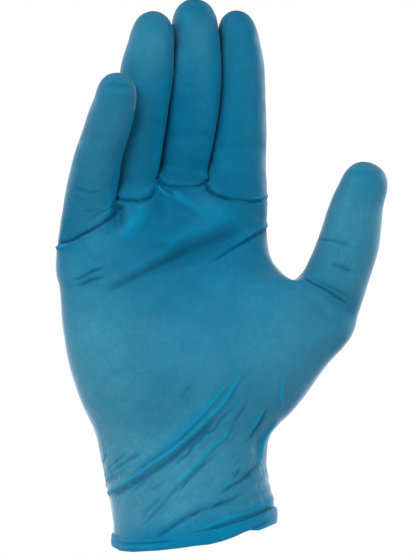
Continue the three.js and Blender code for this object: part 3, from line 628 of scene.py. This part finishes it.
    ("palm", "ring"): (
        ("trough", 2.4, 0.4, 0.1, 0.1, ((-34, 176), (-24, 175.2), (-13, 176.5))),
    ),
    ("back", None): (
        ("pleat", 1.6, 1.3, 0, 0.4, ((-39, 17), (-28, 27), (-14, 33), (2, 36), (18, 34))),
        ("ridge", 1.6, 0.8, 0.3, 0, ((-24, 12), (-6, 20), (14, 24), (33, 22))),
        ("pleat", 1.6, 0.9, 0, 0.4, ((35, 46), (22, 50), (4, 48), (-14, 42))),
        ("ridge", 1.6, 0.6, 0.1, 0.4, ((-30, 2), (-20, 12), (-12, 26))),
        ("ridge", 1.6, 0.6, 0.1, 0.4, ((24, 4), (20, 16), (22, 30))),
        ("pleat", 1.6, 1.2, 0.1, 0.4, ((47, 104), (40, 92), (34, 76), (32, 60))),
        ("ridge", 1.6, 0.9, 0.1, 0.4, ((46, 106), (30, 98), (14, 94))),
        ("ridge", 1.6, 0.7, 0.1, 0.5, ((-34, 132), (-30, 118), (-28, 104))),
        ("ridge", 1.6, 0.7, 0.1, 0.5, ((-15, 141), (-14, 126), (-10, 112))),
        ("ridge", 1.6, 0.7, 0.1, 0.5, ((6, 141), (8, 126), (9, 112))),
    ),
    ("back", "little"): (
        ("crease", 0.9, 0.5, 0.1, 0.1, ((-52, 168), (-42, 166.5), (-31, 168))),
    ),
    ("back", "ring"): (
        ("crease", 0.9, 0.5, 0.1, 0.1, ((-35, 180), (-24, 178.5), (-12, 180))),
    ),
    ("back", "middle"): (
        ("crease", 0.9, 0.5, 0.1, 0.1, ((-13, 178), (-2, 176.5), (9, 178))),
    ),
    ("back", "index"): (
        ("crease", 0.9, 0.5, 0.1, 0.1, ((9, 172), (20, 170.5), (32, 172))),
    ),
    ("back", "thumb"): (
        ("crease", 0.9, 0.5, 0.1, 0.1, ((54, 128), (66, 126), (80, 126))),
    ),
}


# Where two fingers touch, in millimetres. line is the heights and x of the edge between them, as the palm
# shows it, and depths is the heights and y at which that edge lies.
CONTACT_COLUMNS = "left right depths line"
CONTACTS = (
    ("little", "ring", ((140, -4), (186, -22)), ((128, -37.4), (134.3, -36.6), (140, -35.7), (148.5, -34.4),
     (156.2, -33.2), (160.5, -32), (169.3, -29.8), (174.1, -27.6), (181.5, -25.9))),
    ("ring", "middle", ((0, -4),), ((145, -17.4), (152.2, -16.8), (158.3, -15.8), (167.1, -15.3),
     (174.1, -14.6), (184.6, -13.3), (194.6, -11.9), (202, -10.5), (210.8, -9.6), (219.9, -9.4))),
    ("middle", "index", ((0, 2),), ((144, 4.6), (150, 4.9), (158.3, 5.4), (167.1, 6.5), (174.1, 7.3),
     (186.7, 8.7), (197.7, 9.6), (208.6, 9.9), (217.7, 10.2))),
)
LEAN, LEAN_LOW = 0.6, 0.2  # a contact's slant over the finger at its right, along it and at its foot
TOP_PAST, TOP_ROOM = 4, 8  # a contact ends this far above its line, and fades over this height
FOOT_AT, FOOT_ROOM = 8, 26  # its foot is up to this far above its start, and then fades
SWELL_LEAST, SWELL_ROOM, SWELL_AT_FOOT = 0.2, 25, 0.5  # how far the fingers swell, down from their tips
ROUND_EDGE = 0.28  # how softly a finger's flat side begins
THIN_FOLD, SHARP_FOLD = 1.5, 1.1  # narrower folds show as lines, and still narrower ones need a finer mesh
# the lines of narrow folds are painted highlight on their ridges and painted shade in their creases
FOLD_REACH, CRUMPLED_REACH, SHARP_REACH = 5, 1.8, 1.5  # in widths of the fold
LINE_STRENGTH, CRUMPLED_STRENGTH = 1.6, 2  # for each millimetre of a thin fold's height, up to 1
CONTACT_CRUMPLED, CONTACT_SHARP = 3.5, 1.4  # how far beside a contact the film is crumpled, and the mesh fine
ROUND_TO, ROUND_ROOM = 0.15, 0.35  # how far round the glove's side a fold goes and fades, as a normal's y
OWN = 0.5  # a point is a finger's own from this share on
SLACK = ((0.28, 13.0), (0.1, 4.5))  # the film's small unevenness all over: its height and its spacing


def hill(off, width=1.0):
    return np.exp(-((off / width) ** 2))


def beside(at, line):
    """How far points are from a line, how far to its left, and what share of the way along it."""
    nearest, across, along = np.full(len(at), 1e9), np.zeros(len(at)), np.zeros(len(at))
    runs = np.diff(line, axis=0)
    lengths, gone = np.linalg.norm(runs, axis=1), 0.0
    for start, run, length in zip(line, runs, lengths):
        share = np.clip((at - start) @ run / length**2, 0, 1)
        off = at - start - share[:, None] * run
        gap = np.linalg.norm(off, axis=1)
        better = gap < nearest
        nearest[better] = gap[better]
        turn = run[0] * off[:, 1] - run[1] * off[:, 0]
        across[better] = (np.sign(turn) * gap)[better]
        along[better] = ((gone + share * length) / lengths.sum())[better]
        gone += length
    return nearest, across, along


def fold_profile(form, d):
    """A fold's height across its line, where d is the distance to the left of it in widths."""
    if form == "crease":
        return 0.3 * hill(d + 2.1, 0.9) - np.exp(-np.abs(d) ** 1.3)
    if form == "pleat":
        return np.where(d > 0, hill(d), hill(d, 0.6)) - 0.4 * hill(d + 1.4, 0.7)
    return -hill(d) if form == "trough" else hill(d)


def faded(room, gap):
    """Rises smoothly from 0 at a fold's end to 1, over the share of its length that room gives."""
    t = np.clip(gap / room, 0, 1) if room else np.ones(len(gap))
    return t * t * (3 - 2 * t)


def edge_between(contact, level):
    """The x of a contact's edge at each height, and how much of the contact is left there."""
    heights, edge = np.array(contact["line"]).T
    left_of_it = np.clip((heights[-1] + TOP_PAST - level) / TOP_ROOM, 0, 1)
    return heights, np.interp(level, heights, edge), left_of_it


def fold_field(where, normal, shares):
    """What the folds do at each point: the film's lift, lines of painted highlight and shade along the narrow
    folds, and where it is crumpled.

    The last value says where they are too sharp for an even mesh.
    """
    lift, thin, crumpled = np.zeros((3, len(where)))
    sharp = np.zeros(len(where), bool)
    facing = {"palm": -normal[:, 1], "back": normal[:, 1]}
    folds = [(*place, fold) for place, rows in FOLDS.items() for fold in named(FOLD_COLUMNS, rows)]
    for side, finger, fold in folds:
        ends = np.array(fold["line"], float)
        places = np.concatenate([[0], np.cumsum(np.linalg.norm(np.diff(ends, axis=0), axis=1))])
        line = np.array([curve(places, ends, at) for at in np.linspace(0, places[-1], 4 * len(ends))])
        width, height = fold["width"], fold["height"]
        reach = width * FOLD_REACH
        near = np.all((where[:, ::2] > line.min(0) - reach) & (where[:, ::2] < line.max(0) + reach), axis=1)
        near &= facing[side] > -ROUND_TO
        if finger:
            near &= shares[finger] > OWN
        nearest, across, along = beside(where[near][:, ::2], line)
        profile = fold_profile(fold["form"], across / width)
        fade = faded(fold["starts"], along) * faded(fold["ends"], 1 - along)
        turned = np.clip((facing[side][near] + ROUND_TO) / ROUND_ROOM, 0, 1)
        lift[near] += profile * height * fade * turned
        if width < THIN_FOLD:
            thin[near] += profile * min(height * LINE_STRENGTH, 1) * fade * turned
            strip = hill(nearest, CRUMPLED_REACH * width) * min(height * CRUMPLED_STRENGTH, 1) * fade
            crumpled[near] = np.maximum(crumpled[near], strip)
        if width < SHARP_FOLD and side == "palm":
            sharp[near] |= (nearest < SHARP_REACH * width + 0.3) & (fade > 0.2)
    for contact in named(CONTACT_COLUMNS, CONTACTS):
        heights, edge, _ = edge_between(contact, where[:, 2])
        gap = np.abs(where[:, 0] - edge)
        within = (where[:, 2] > heights[0]) & (where[:, 2] < heights[-1])
        crumpled = np.maximum(crumpled, hill(gap, CONTACT_CRUMPLED) * within)
        sharp |= (gap < CONTACT_SHARP) & within & (facing["palm"] > 0.1)
    return {"lift": lift, "thin": np.clip(thin, -1, 1), "crumpled": crumpled, "sharp": sharp}


def press(where, normal, shares):
    """The fingers swell a little towards each other and flatten where they meet."""
    for contact in named(CONTACT_COLUMNS, CONTACTS):
        level = where[:, 2]
        heights, edge, left_of_it = edge_between(contact, level)
        depth = np.interp(level, *np.array(contact["depths"], float).T)
        low = np.clip(1 - (level - heights[0] - FOOT_AT) / FOOT_ROOM, 0, 1)
        plane = edge - lerp(LEAN, LEAN_LOW, low) * (where[:, 1] - depth)
        swell = np.clip((heights[-1] - level) / SWELL_ROOM, SWELL_LEAST, 1) + SWELL_AT_FOOT * low
        for finger, sign in ((contact["left"], 1), (contact["right"], -1)):
            weight = np.clip(shares[finger] * 3, 0, 1) * left_of_it
            facing = np.clip(sign * normal[:, 0] * 1.4, 0, 1) * weight
            moved = where[:, 0] + sign * swell * facing
            room = sign * (plane - moved)
            pressed = plane - sign * ROUND_EDGE * np.logaddexp(0, room / ROUND_EDGE)
            where[:, 0] += weight * (pressed - where[:, 0])
    return where


def unevenness(where):
    return np.array([sum(high * noise.noise(Vector(p) / wide) for high, wide in SLACK) for p in where])


# The outside is subdivided once more beside the sharp folds, which the even mesh is too coarse for.
outer_mesh = subdivided("outside", 2)
outside, normal, shares = read(outer_mesh)
sharp = fold_field(outside, normal, shares)["sharp"]
outer = bmesh.new()
outer.from_mesh(outer_mesh)
outer.verts.ensure_lookup_table()
split_edges = [e for e in outer.edges if sharp[e.verts[0].index] and sharp[e.verts[1].index]]
bmesh.ops.subdivide_edges(outer, edges=split_edges, cuts=1, use_grid_fill=True)
outer.to_mesh(outer_mesh)
outer.free()
inner_mesh = subdivided("inside", 1)

FILM = 0.6  # between the outside and the inside, in millimetres
sheets = []
for mesh, depth in ((outer_mesh, 0.0), (inner_mesh, FILM)):
    where, normal, shares = read(mesh)
    where = press(where, normal, shares)
    folds = fold_field(where, normal, shares)
    where = where + normal * (folds["lift"] + unevenness(where) - depth)[:, None]
    faces = [tuple(p.vertices) for p in mesh.polygons]
    sheets.append({"where": where, "faces": faces, "up": normal[:, 2], **folds, **shares})
    bpy.data.meshes.remove(mesh)
outside, out_faces = sheets[0]["where"], sheets[0]["faces"]

# How far the film is stretched, which makes it paler and greyer, together with painted light and shade: the
# same map paints the heel of the palm, the thumb, the little finger and the fingertips lighter, the finger
# shafts and their foot darker, and strips down the right sides of the middle and index fingers lighter. It is
# most at the heel of the palm, the wrist, the thumb and the fingertips, and least at the foot of the fingers.
STRETCH_AND_PAINTED_LIGHT_COLUMNS = "x z reach_x reach_z amount"
STRETCH_AND_PAINTED_LIGHT = (
    (-46, 72, 24, 44, 0.9),
    (-4, 84, 30, 22, 0.38),
    (40, 78, 28, 32, 0.52),
    (66, 130, 20, 34, 0.72),
    (-8, 14, 44, 30, 0.9),
    (-30, 18, 16, 20, 0.25),
    (-2, 50, 34, 22, 0.3),
    (-36, 176, 12, 22, 0.4),
    (-23, 176, 6, 24, 0.08),
    (-20, 210, 14, 14, 0.62),
    (0, 214, 14, 14, 0.3),
    (18, 212, 12, 16, 0.15),
    (25, 180, 6, 34, 0.12),
    (5, 138, 6, 8, 0.3),
    (6, 192, 5, 30, 0.14),
    (-45, 150, 9, 24, 0.3),
    (80, 141, 5, 16, 0.25),
)
STRETCH_AND_PAINTED_LIGHT_LEAST = 0.04


def whole(key):
    """A value at all of the film's points, first outside and then inside."""
    return np.concatenate([sheet[key] for sheet in sheets])


both, up = whole("where"), whole("up")
level = both[:, 2]
inner_faces = [tuple(i + len(outside) for i in reversed(face)) for face in sheets[1]["faces"]]
film_mesh = bpy.data.meshes.new("film")
film_mesh.from_pydata((both * MM).tolist(), [], out_faces + inner_faces)
film_mesh.shade_smooth()
stretch_and_painted_light = np.full(len(both), STRETCH_AND_PAINTED_LIGHT_LEAST)
for m in named(STRETCH_AND_PAINTED_LIGHT_COLUMNS, STRETCH_AND_PAINTED_LIGHT):
    stretch_and_painted_light += m["amount"] * hill(both[:, 0] - m["x"], m["reach_x"]) * hill(level - m["z"], m["reach_z"])

# Where two fingers touch, the finger at the left, which lies over the other, is painted lighter up to the
# contact, and the finger at the right is painted with shade beside it; only the colour changes.
LEFT_PAINTED_LIGHT, LEFT_PAINTED_LIGHT_REACH, START_ROOM = 1.05, 3, 6
RIGHT_PAINTED_SHADE, RIGHT_PAINTED_SHADE_AT, RIGHT_PAINTED_SHADE_REACH = 0.8, 2, 2.6
contact_light_and_shade = np.zeros(len(both))
for contact in named(CONTACT_COLUMNS, CONTACTS):
    heights, edge, left_of_it = edge_between(contact, level)
    over = both[:, 0] - edge
    along = np.clip((level - heights[0]) / START_ROOM, 0, 1) * left_of_it
    contact_light_and_shade -= LEFT_PAINTED_LIGHT * hill(over, LEFT_PAINTED_LIGHT_REACH) * along * (whole(contact["left"]) > OWN)
    contact_light_and_shade += RIGHT_PAINTED_SHADE * hill(over - RIGHT_PAINTED_SHADE_AT, RIGHT_PAINTED_SHADE_REACH) * along * (whole(contact["right"]) > OWN)

GATHERED_CUFF, GATHERED_BASES = (28, 24), (126, 16)  # the middle and reach of the small gathers' heights
FAINTER_AT_BASES, PALM_TO = 0.35, 40  # and the x up to which the gathers at the finger bases go
BUNCHED_FROM, BUNCHED_SLOPE, BUNCHED_REACH = 1, 0.15, 3.5  # the strip over the bead, which rises with x
TIP_REACH, TIP_ROOM = 18, 6  # how far from a finger's top its tip goes, and over what length it fades
tops = np.array([table[-1][:3] for table in (LITTLE, RING, MIDDLE, INDEX, THUMB)])
from_top = np.linalg.norm(both[:, None] - tops, axis=2).min(axis=1)
at_cuff, at_bases = (hill(level - middle, reach) for middle, reach in (GATHERED_CUFF, GATHERED_BASES))
over_bead = np.clip(level - BUNCHED_FROM - BUNCHED_SLOPE * both[:, 0], 0, None)
values = {
    # the fold's height for the colour, with the light and shade painted beside the contacts
    "fold": np.clip(whole("lift") - contact_light_and_shade, -1.5, 1.5),
    "thin": whole("thin"),
    "crumpled": whole("crumpled"),
    "gathered": at_cuff + FAINTER_AT_BASES * at_bases * (both[:, 0] < PALM_TO),
    "stretch_and_painted_light": np.clip(stretch_and_painted_light, 0, 1),
    "bunched": np.exp(-over_bead / BUNCHED_REACH),
    "tip": np.clip(up, 0, 1) * np.clip((TIP_REACH - from_top) / TIP_ROOM, 0, 1),
}
for name, value in values.items():
    add_value(film_mesh, name, value)
film = put_in_scene("film", film_mesh)

nitrile = bpy.data.materials.new("nitrile")
nitrile.use_nodes = True
tree = nitrile.node_tree
shader = tree.nodes["Principled BSDF"]
shader.inputs["Specular IOR Level"].default_value = 0.25
shader.inputs["Specular Tint"].default_value = (0.05, 0.7, 1.0, 1.0)
shader.inputs["Sheen Roughness"].default_value = 0.5
shader.inputs["Subsurface Weight"].default_value = 0.15
shader.inputs["Subsurface Radius"].default_value = (0.2, 0.8, 1.0)
shader.inputs["Subsurface Scale"].default_value = 0.002
shader.inputs["Sheen Tint"].default_value = (0.9, 0.95, 1.0, 1.0)


def node(kind, **settings):
    made = tree.nodes.new(kind)
    for key, value in settings.items():
        setattr(made, key, value)
    return made


def feed(socket, value):
    """Links a socket to another node's result, or sets its value."""
    if isinstance(value, bpy.types.NodeSocket):
        tree.links.new(value, socket)
    else:
        socket.default_value = value


def mixed(kind, factor, a, b):
    """A colour mix node's result."""
    made = node("ShaderNodeMix", data_type="RGBA", blend_type=kind)
    for socket, value in zip((made.inputs[0], made.inputs[6], made.inputs[7]), (factor, a, b)):
        feed(socket, value)
    return made.outputs[2]


def worked_out(operation, a, b):
    """A math node's result."""
    made = node("ShaderNodeMath", operation=operation)
    feed(made.inputs[0], a)
    feed(made.inputs[1], b)
    return made.outputs[0]


def mapped(value, low, high, out_low, out_high):
    made = node("ShaderNodeMapRange", interpolation_type="SMOOTHSTEP")
    for i, given in enumerate((value, low, high, out_low, out_high)):
        feed(made.inputs[i], given)
    return made.outputs[0]


place = node("ShaderNodeTexCoord").outputs["Object"]


def grain(scale, detail, roughness, at=place):
    made = node("ShaderNodeTexNoise")
    made.inputs["Scale"].default_value = scale
    made.inputs["Detail"].default_value = detail
    made.inputs["Roughness"].default_value = roughness
    tree.links.new(at, made.inputs["Vector"])
    return made.outputs["Fac"]


def drawn_out(turn, along, across):
    """Places turned about Y and scaled, so that a grain at them runs in lines."""
    made = node("ShaderNodeMapping", vector_type="TEXTURE")
    made.inputs["Rotation"].default_value = (0, -turn, 0)
    made.inputs["Scale"].default_value = (along * MM, across * MM, across * MM)
    tree.links.new(place, made.inputs["Vector"])
    return made.outputs["Vector"]


masks = {name: node("ShaderNodeAttribute", attribute_name=name).outputs["Fac"] for name in values}
# The film's own unevenness in colour, from large spots to fine ones: scale, detail and roughness.
SPOTS = {"cloud": (38, 4, 0.5), "mottle": (260, 3, 0.6), "speckle": (1100, 2, 0.6)}
for name, spots in SPOTS.items():
    masks[name] = mapped(grain(*spots), 0.35, 0.65, 0, 1)
smooth = worked_out("SUBTRACT", 1.0, masks["crumpled"])
# the stretch map, a little less where the film is crumpled: it carries the film's paleness where stretched
# and the light and shade painted with it
taut_and_painted_light = worked_out("MULTIPLY", masks["stretch_and_painted_light"], mapped(smooth, 0, 1, 0.7, 1))

SLACK_AND_SHADED_BLUE, TAUT_AND_LIT_BLUE = (0.0001, 0.052, 0.104, 1), (0.022, 0.106, 0.157, 1)
# Each tint rises to its most as its mask goes from start to full.
TINT_COLUMNS = "mask kind start full most colour"
TINTS = (
    ("bunched", "MIX", 0, 1, 0.8, (0.0004, 0.085, 0.155, 1)),
    # raised folds: the deeper blue of film lying double, with a painted highlight along their crests; beside
    # a contact this paints light on the finger at the left
    ("fold", "MIX", 0.15, 1.3, 0.85, (0.0004, 0.086, 0.162, 1)),
    # sunken folds, and the finger at the right beside a contact: painted shade
    ("fold", "MULTIPLY", -0.1, -1.4, 0.5, (0.1, 0.6, 0.7, 1)),
    # narrow ridges and the bead's lips: a painted highlight along the line
    ("thin", "MIX", 0.1, 1.0, 0.65, (0.001, 0.13, 0.22, 1)),
    # narrow creases and the bead's grooves: painted shade along the line
    ("thin", "MULTIPLY", -0.1, -1.0, 0.6, (0.02, 0.4, 0.6, 1)),
    ("cloud", "MULTIPLY", 0, 1, 0.4, (0.4, 0.8, 0.84, 1)),
    ("mottle", "MULTIPLY", 0, 1, 0.36, (0.4, 0.84, 0.88, 1)),
    ("speckle", "MULTIPLY", 0, 1, 0.5, (0.5, 0.84, 0.87, 1)),
    # the tops of the fingertips: a painted dark rim of shade
    ("tip", "MULTIPLY", 0.76, 1.0, 0.6, (0.1, 0.4, 0.5, 1)),
)
# the base blue: deep at the slack end, where shade is painted, and pale at the taut end, where light is
# painted
colour = mixed("MIX", taut_and_painted_light, SLACK_AND_SHADED_BLUE, TAUT_AND_LIT_BLUE)
for tint in named(TINT_COLUMNS, TINTS):
    amount = mapped(masks[tint["mask"]], tint["start"], tint["full"], 0, tint["most"])
    colour = mixed(tint["kind"], amount, colour, tint["colour"])
feed(shader.inputs["Base Color"], colour)
matt = worked_out("MAXIMUM", mapped(masks["cloud"], 0, 1, 0.56, 0.68), masks["crumpled"])
feed(shader.inputs["Roughness"], matt)

# a dull sheen, stronger where the film is stretched and painted lighter and where it curves away, but not
# over the tips
edge = node("ShaderNodeLayerWeight")
edge.inputs["Blend"].default_value = 0.3
away = worked_out("MULTIPLY", mapped(edge.outputs["Facing"], 0.2, 0.95, 0, 0.35), smooth)
away_below_tips = worked_out("MULTIPLY", away, mapped(masks["tip"], 0.15, 0.55, 1, 0))
sheen = worked_out("ADD", mapped(taut_and_painted_light, 0, 1, 0, 0.14), away_below_tips)
feed(shader.inputs["Sheen Weight"], sheen)

# fine gathers, which run up to the thumb at the cuff and straight up at the foot of the fingers
gathers = worked_out("MULTIPLY", grain(1, 3, 0.55, drawn_out(math.radians(45), 22, 2.8)), masks["gathered"])
BUMP_COLUMNS = "height strength distance"
BUMPS = (
    (gathers, 0.8, 0.0012),
    (grain(260, 3, 0.5), 0.5, 0.0003),
    (grain(2600, 2, 0.5), 0.3, 0.00005),
)
surface = None
for row in named(BUMP_COLUMNS, BUMPS):
    bump = node("ShaderNodeBump")
    bump.inputs["Strength"].default_value = row["strength"]
    bump.inputs["Distance"].default_value = row["distance"]
    feed(bump.inputs["Height"], row["height"])
    if surface:
        feed(bump.inputs["Normal"], surface)
    surface = bump.outputs["Normal"]
feed(shader.inputs["Normal"], surface)

film_mesh.materials.append(nitrile)
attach(film, "root")
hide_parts("glove")

# The bead. The film's lower edge is rolled up on itself while it is still soft, into a flat, slightly
# uneven band round the cuff's mouth. It is darker and more even in colour, because the film lies double.
BEAD_THICK, BEAD_ROUND, BEAD_STEPS = 1.8, 30, 210
BEAD_BELOW, BEAD_ABOVE = 3.8, 2.4  # its reach past the film's rim at the back
BEAD_OUT, BEAD_UNEVEN = 0.4, 0.2  # how far it stands out from the rim, and by how much that changes
TALL_POWER, THICK_POWER = 0.75, 0.9  # under 1 for a section that is squarer than an ellipse
GROOVE_DEEP, GROOVE_REACH, LIP_HIGH, LIP_REACH, LIP_BELOW = 0.6, 0.6, 0.35, 0.8, 1.4
WOBBLE_STEP, WOBBLE_TALL, WOBBLE_THICK = 9.0, 0.03, 0.12
# The bead's edges on the palm side, in millimetres: x, low and high.
BEAD_FRONT = (
    (-36.4, -6.2, -1.8),
    (-34.6, -8.7, -2.8),
    (-32.0, -10.1, -4.4),
    (-26.2, -10.5, -5.3),
    (-16.2, -9.9, -4.4),
    (-7.9, -8.9, -3.4),
    (0.4, -7.8, -2.0),
    (6.2, -7.2, -0.9),
    (12.1, -5.7, 0.1),
    (17.1, -3.9, 1.4),
    (22.1, -1.6, 3.0),
    (24.2, -1.0, 3.8),
    (27.9, -1.2, 5.6),
    (31.2, 0.1, 7.0),
    (35.0, 1.6, 9.6),
)
# The grooves along its front: x and z.
BEAD_GROOVES = (
    ((-36.2, -3.7), (-34.1, -5.8), (-30.4, -7.2), (-24.6, -7.0), (-16.3, -6.5), (-8.0, -5.6)),
    ((22.6, -1.6), (24.2, -1.0), (29.6, 1.7), (33.7, 4.2), (35.2, 6.2)),
)

RIM_TOP = 15  # the film's only open edge is below this height
edges = np.array([(a, b) for face in out_faces for a, b in zip(face, face[1:] + face[:1])])
pairs, uses = np.unique(np.sort(edges, axis=1), axis=0, return_counts=True)
rim = np.unique(pairs[uses == 1])
rim = rim[outside[rim, 2] < RIM_TOP]
turns = np.arctan2(outside[rim, 1], outside[rim, 0])
order = np.argsort(turns)
even = np.linspace(-math.pi, math.pi, BEAD_STEPS, endpoint=False)
rim_axes = [np.interp(even, turns[order], axis, period=2 * math.pi) for axis in outside[rim[order]].T]
rim_line = np.stack(rim_axes, axis=1)
rim_line = (np.roll(rim_line, 1, axis=0) + 2 * rim_line + np.roll(rim_line, -1, axis=0)) / 4
along = np.roll(rim_line, -1, axis=0) - np.roll(rim_line, 1, axis=0)
outward = np.stack([along[:, 1], -along[:, 0], np.zeros(len(along))], axis=1)
outward /= np.linalg.norm(outward, axis=1)[:, None]
bead_points, bead_faces, bead_groove_light_and_shade = [], [], []
front_x, front_low, front_high = np.array(BEAD_FRONT).T


def squared_off(value, power):
    return math.copysign(abs(value) ** power, value)


for k, (p, out) in enumerate(zip(rim_line, outward)):
    wobble = noise.noise(Vector(p) / WOBBLE_STEP)
    on_palm = min(max(0.5 - p[1] / 12, 0), 1)
    low = lerp(p[2] - BEAD_BELOW, np.interp(p[0], front_x, front_low), on_palm)
    high = lerp(p[2] + BEAD_ABOVE, np.interp(p[0], front_x, front_high), on_palm)
    tall = (high - low) / 2 * (1 + WOBBLE_TALL * wobble)
    thick = BEAD_THICK / 2 * (1 + WOBBLE_THICK * wobble)
    for i in range(BEAD_ROUND):
        a = 2 * math.pi * i / BEAD_ROUND
        z = (low + high) / 2 + squared_off(math.sin(a), TALL_POWER) * tall
        side = squared_off(math.cos(a), THICK_POWER) * thick + BEAD_OUT + BEAD_UNEVEN * wobble
        groove_light_and_shade = 0.0
        for line in BEAD_GROOVES:
            groove_x, groove_z = np.array(line).T
            room = min(p[0] - groove_x[0], groove_x[-1] - p[0]) / 4
            if room > 0 and math.cos(a) > 0:
                off = z - np.interp(p[0], groove_x, groove_z)
                cut, lip = hill(off, GROOVE_REACH), hill(off + LIP_BELOW, LIP_REACH)
                side -= on_palm * min(room, 1) * (GROOVE_DEEP * cut - LIP_HIGH * lip)
                # painted shade in the groove and a painted highlight on the lip below it, for the colour only
                groove_light_and_shade -= on_palm * min(room, 1) * (cut - 0.7 * lip)
        bead_groove_light_and_shade.append(groove_light_and_shade)
        bead_points.append((p[0] + out[0] * side, p[1] + out[1] * side, z))
        here, there = k * BEAD_ROUND, (k + 1) % len(rim_line) * BEAD_ROUND
        after = (i + 1) % BEAD_ROUND
        bead_faces.append((here + i, here + after, there + after, there + i))
bead_mesh = bpy.data.meshes.new("bead")
bead_mesh.from_pydata((np.array(bead_points) * MM).tolist(), [], bead_faces)
bead_mesh.shade_smooth()
add_value(bead_mesh, "thin", bead_groove_light_and_shade)
bead_values = {"fold": 0.65, "stretch_and_painted_light": 0.25, "bunched": 1.0, "crumpled": 0.7, "gathered": 0.1, "tip": 0.0}
for name, value in bead_values.items():
    add_value(bead_mesh, name, np.full(len(bead_points), value))
bead_mesh.materials.append(nitrile)
bead = put_in_scene("bead", bead_mesh)
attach(bead, "root")

# The studio: a pale floor well below the cuff, white surroundings, one large soft light from the upper
# left and a weaker one from the right, and a long lens level with the middle of the glove.
FLOOR_REACH, FLOOR_AT = 0.55, -0.5
floor_mesh = bpy.data.meshes.new("floor")
corners = [(x * FLOOR_REACH, y * FLOOR_REACH, FLOOR_AT) for x, y in ((-1, -1), (1, -1), (1, 1), (-1, 1))]
floor_mesh.from_pydata(corners, [], [(0, 1, 2, 3)])
pale = bpy.data.materials.new("pale_floor")
pale.use_nodes = True
pale.node_tree.nodes["Principled BSDF"].inputs["Base Color"].default_value = (0.88, 0.88, 0.88, 1)
pale.node_tree.nodes["Principled BSDF"].inputs["Roughness"].default_value = 0.8
floor_mesh.materials.append(pale)
floor = put_in_scene("floor", floor_mesh)

world = bpy.data.worlds.new("surroundings")
world.use_nodes = True
world.node_tree.nodes["Background"].inputs["Color"].default_value = (1, 1, 1, 1)
world.node_tree.nodes["Background"].inputs["Strength"].default_value = 1.0
bpy.context.scene.world = world
bpy.context.scene.view_settings.view_transform = "Standard"

aim = Vector((0.006, 0.0, 0.109))
LIGHT_COLUMNS = "name at size power"
LIGHTS = (
    ("key", (-0.7, -1.3, 1.1), 0.9, 46.0),
    ("fill", (0.9, -1.4, 0.4), 0.9, 17.0),
    ("left_edge", (-1.3, 0.6, 0.4), 0.8, 13.0),
    ("right_edge", (1.3, 0.8, 0.4), 0.8, 26.0),
)
for light in named(LIGHT_COLUMNS, LIGHTS):
    lamp = bpy.data.lights.new(light["name"], "AREA")
    lamp.size, lamp.energy = light["size"], light["power"]
    holder = put_in_scene(light["name"], lamp)
    holder.location = light["at"]
    holder.rotation_euler = (aim - Vector(light["at"])).to_track_quat("-Z", "Y").to_euler()

VIEW_HEIGHT, DISTANCE, SENSOR = 0.2424, 5.0, 36
camera_data = bpy.data.cameras.new("camera")
camera_data.sensor_width = SENSOR
camera_data.lens = SENSOR * DISTANCE / VIEW_HEIGHT
camera = put_in_scene("camera", camera_data)
camera.location = aim + Vector((0, -DISTANCE, 0))
camera.rotation_euler = (math.pi / 2, 0, 0)
bpy.context.scene.camera = camera
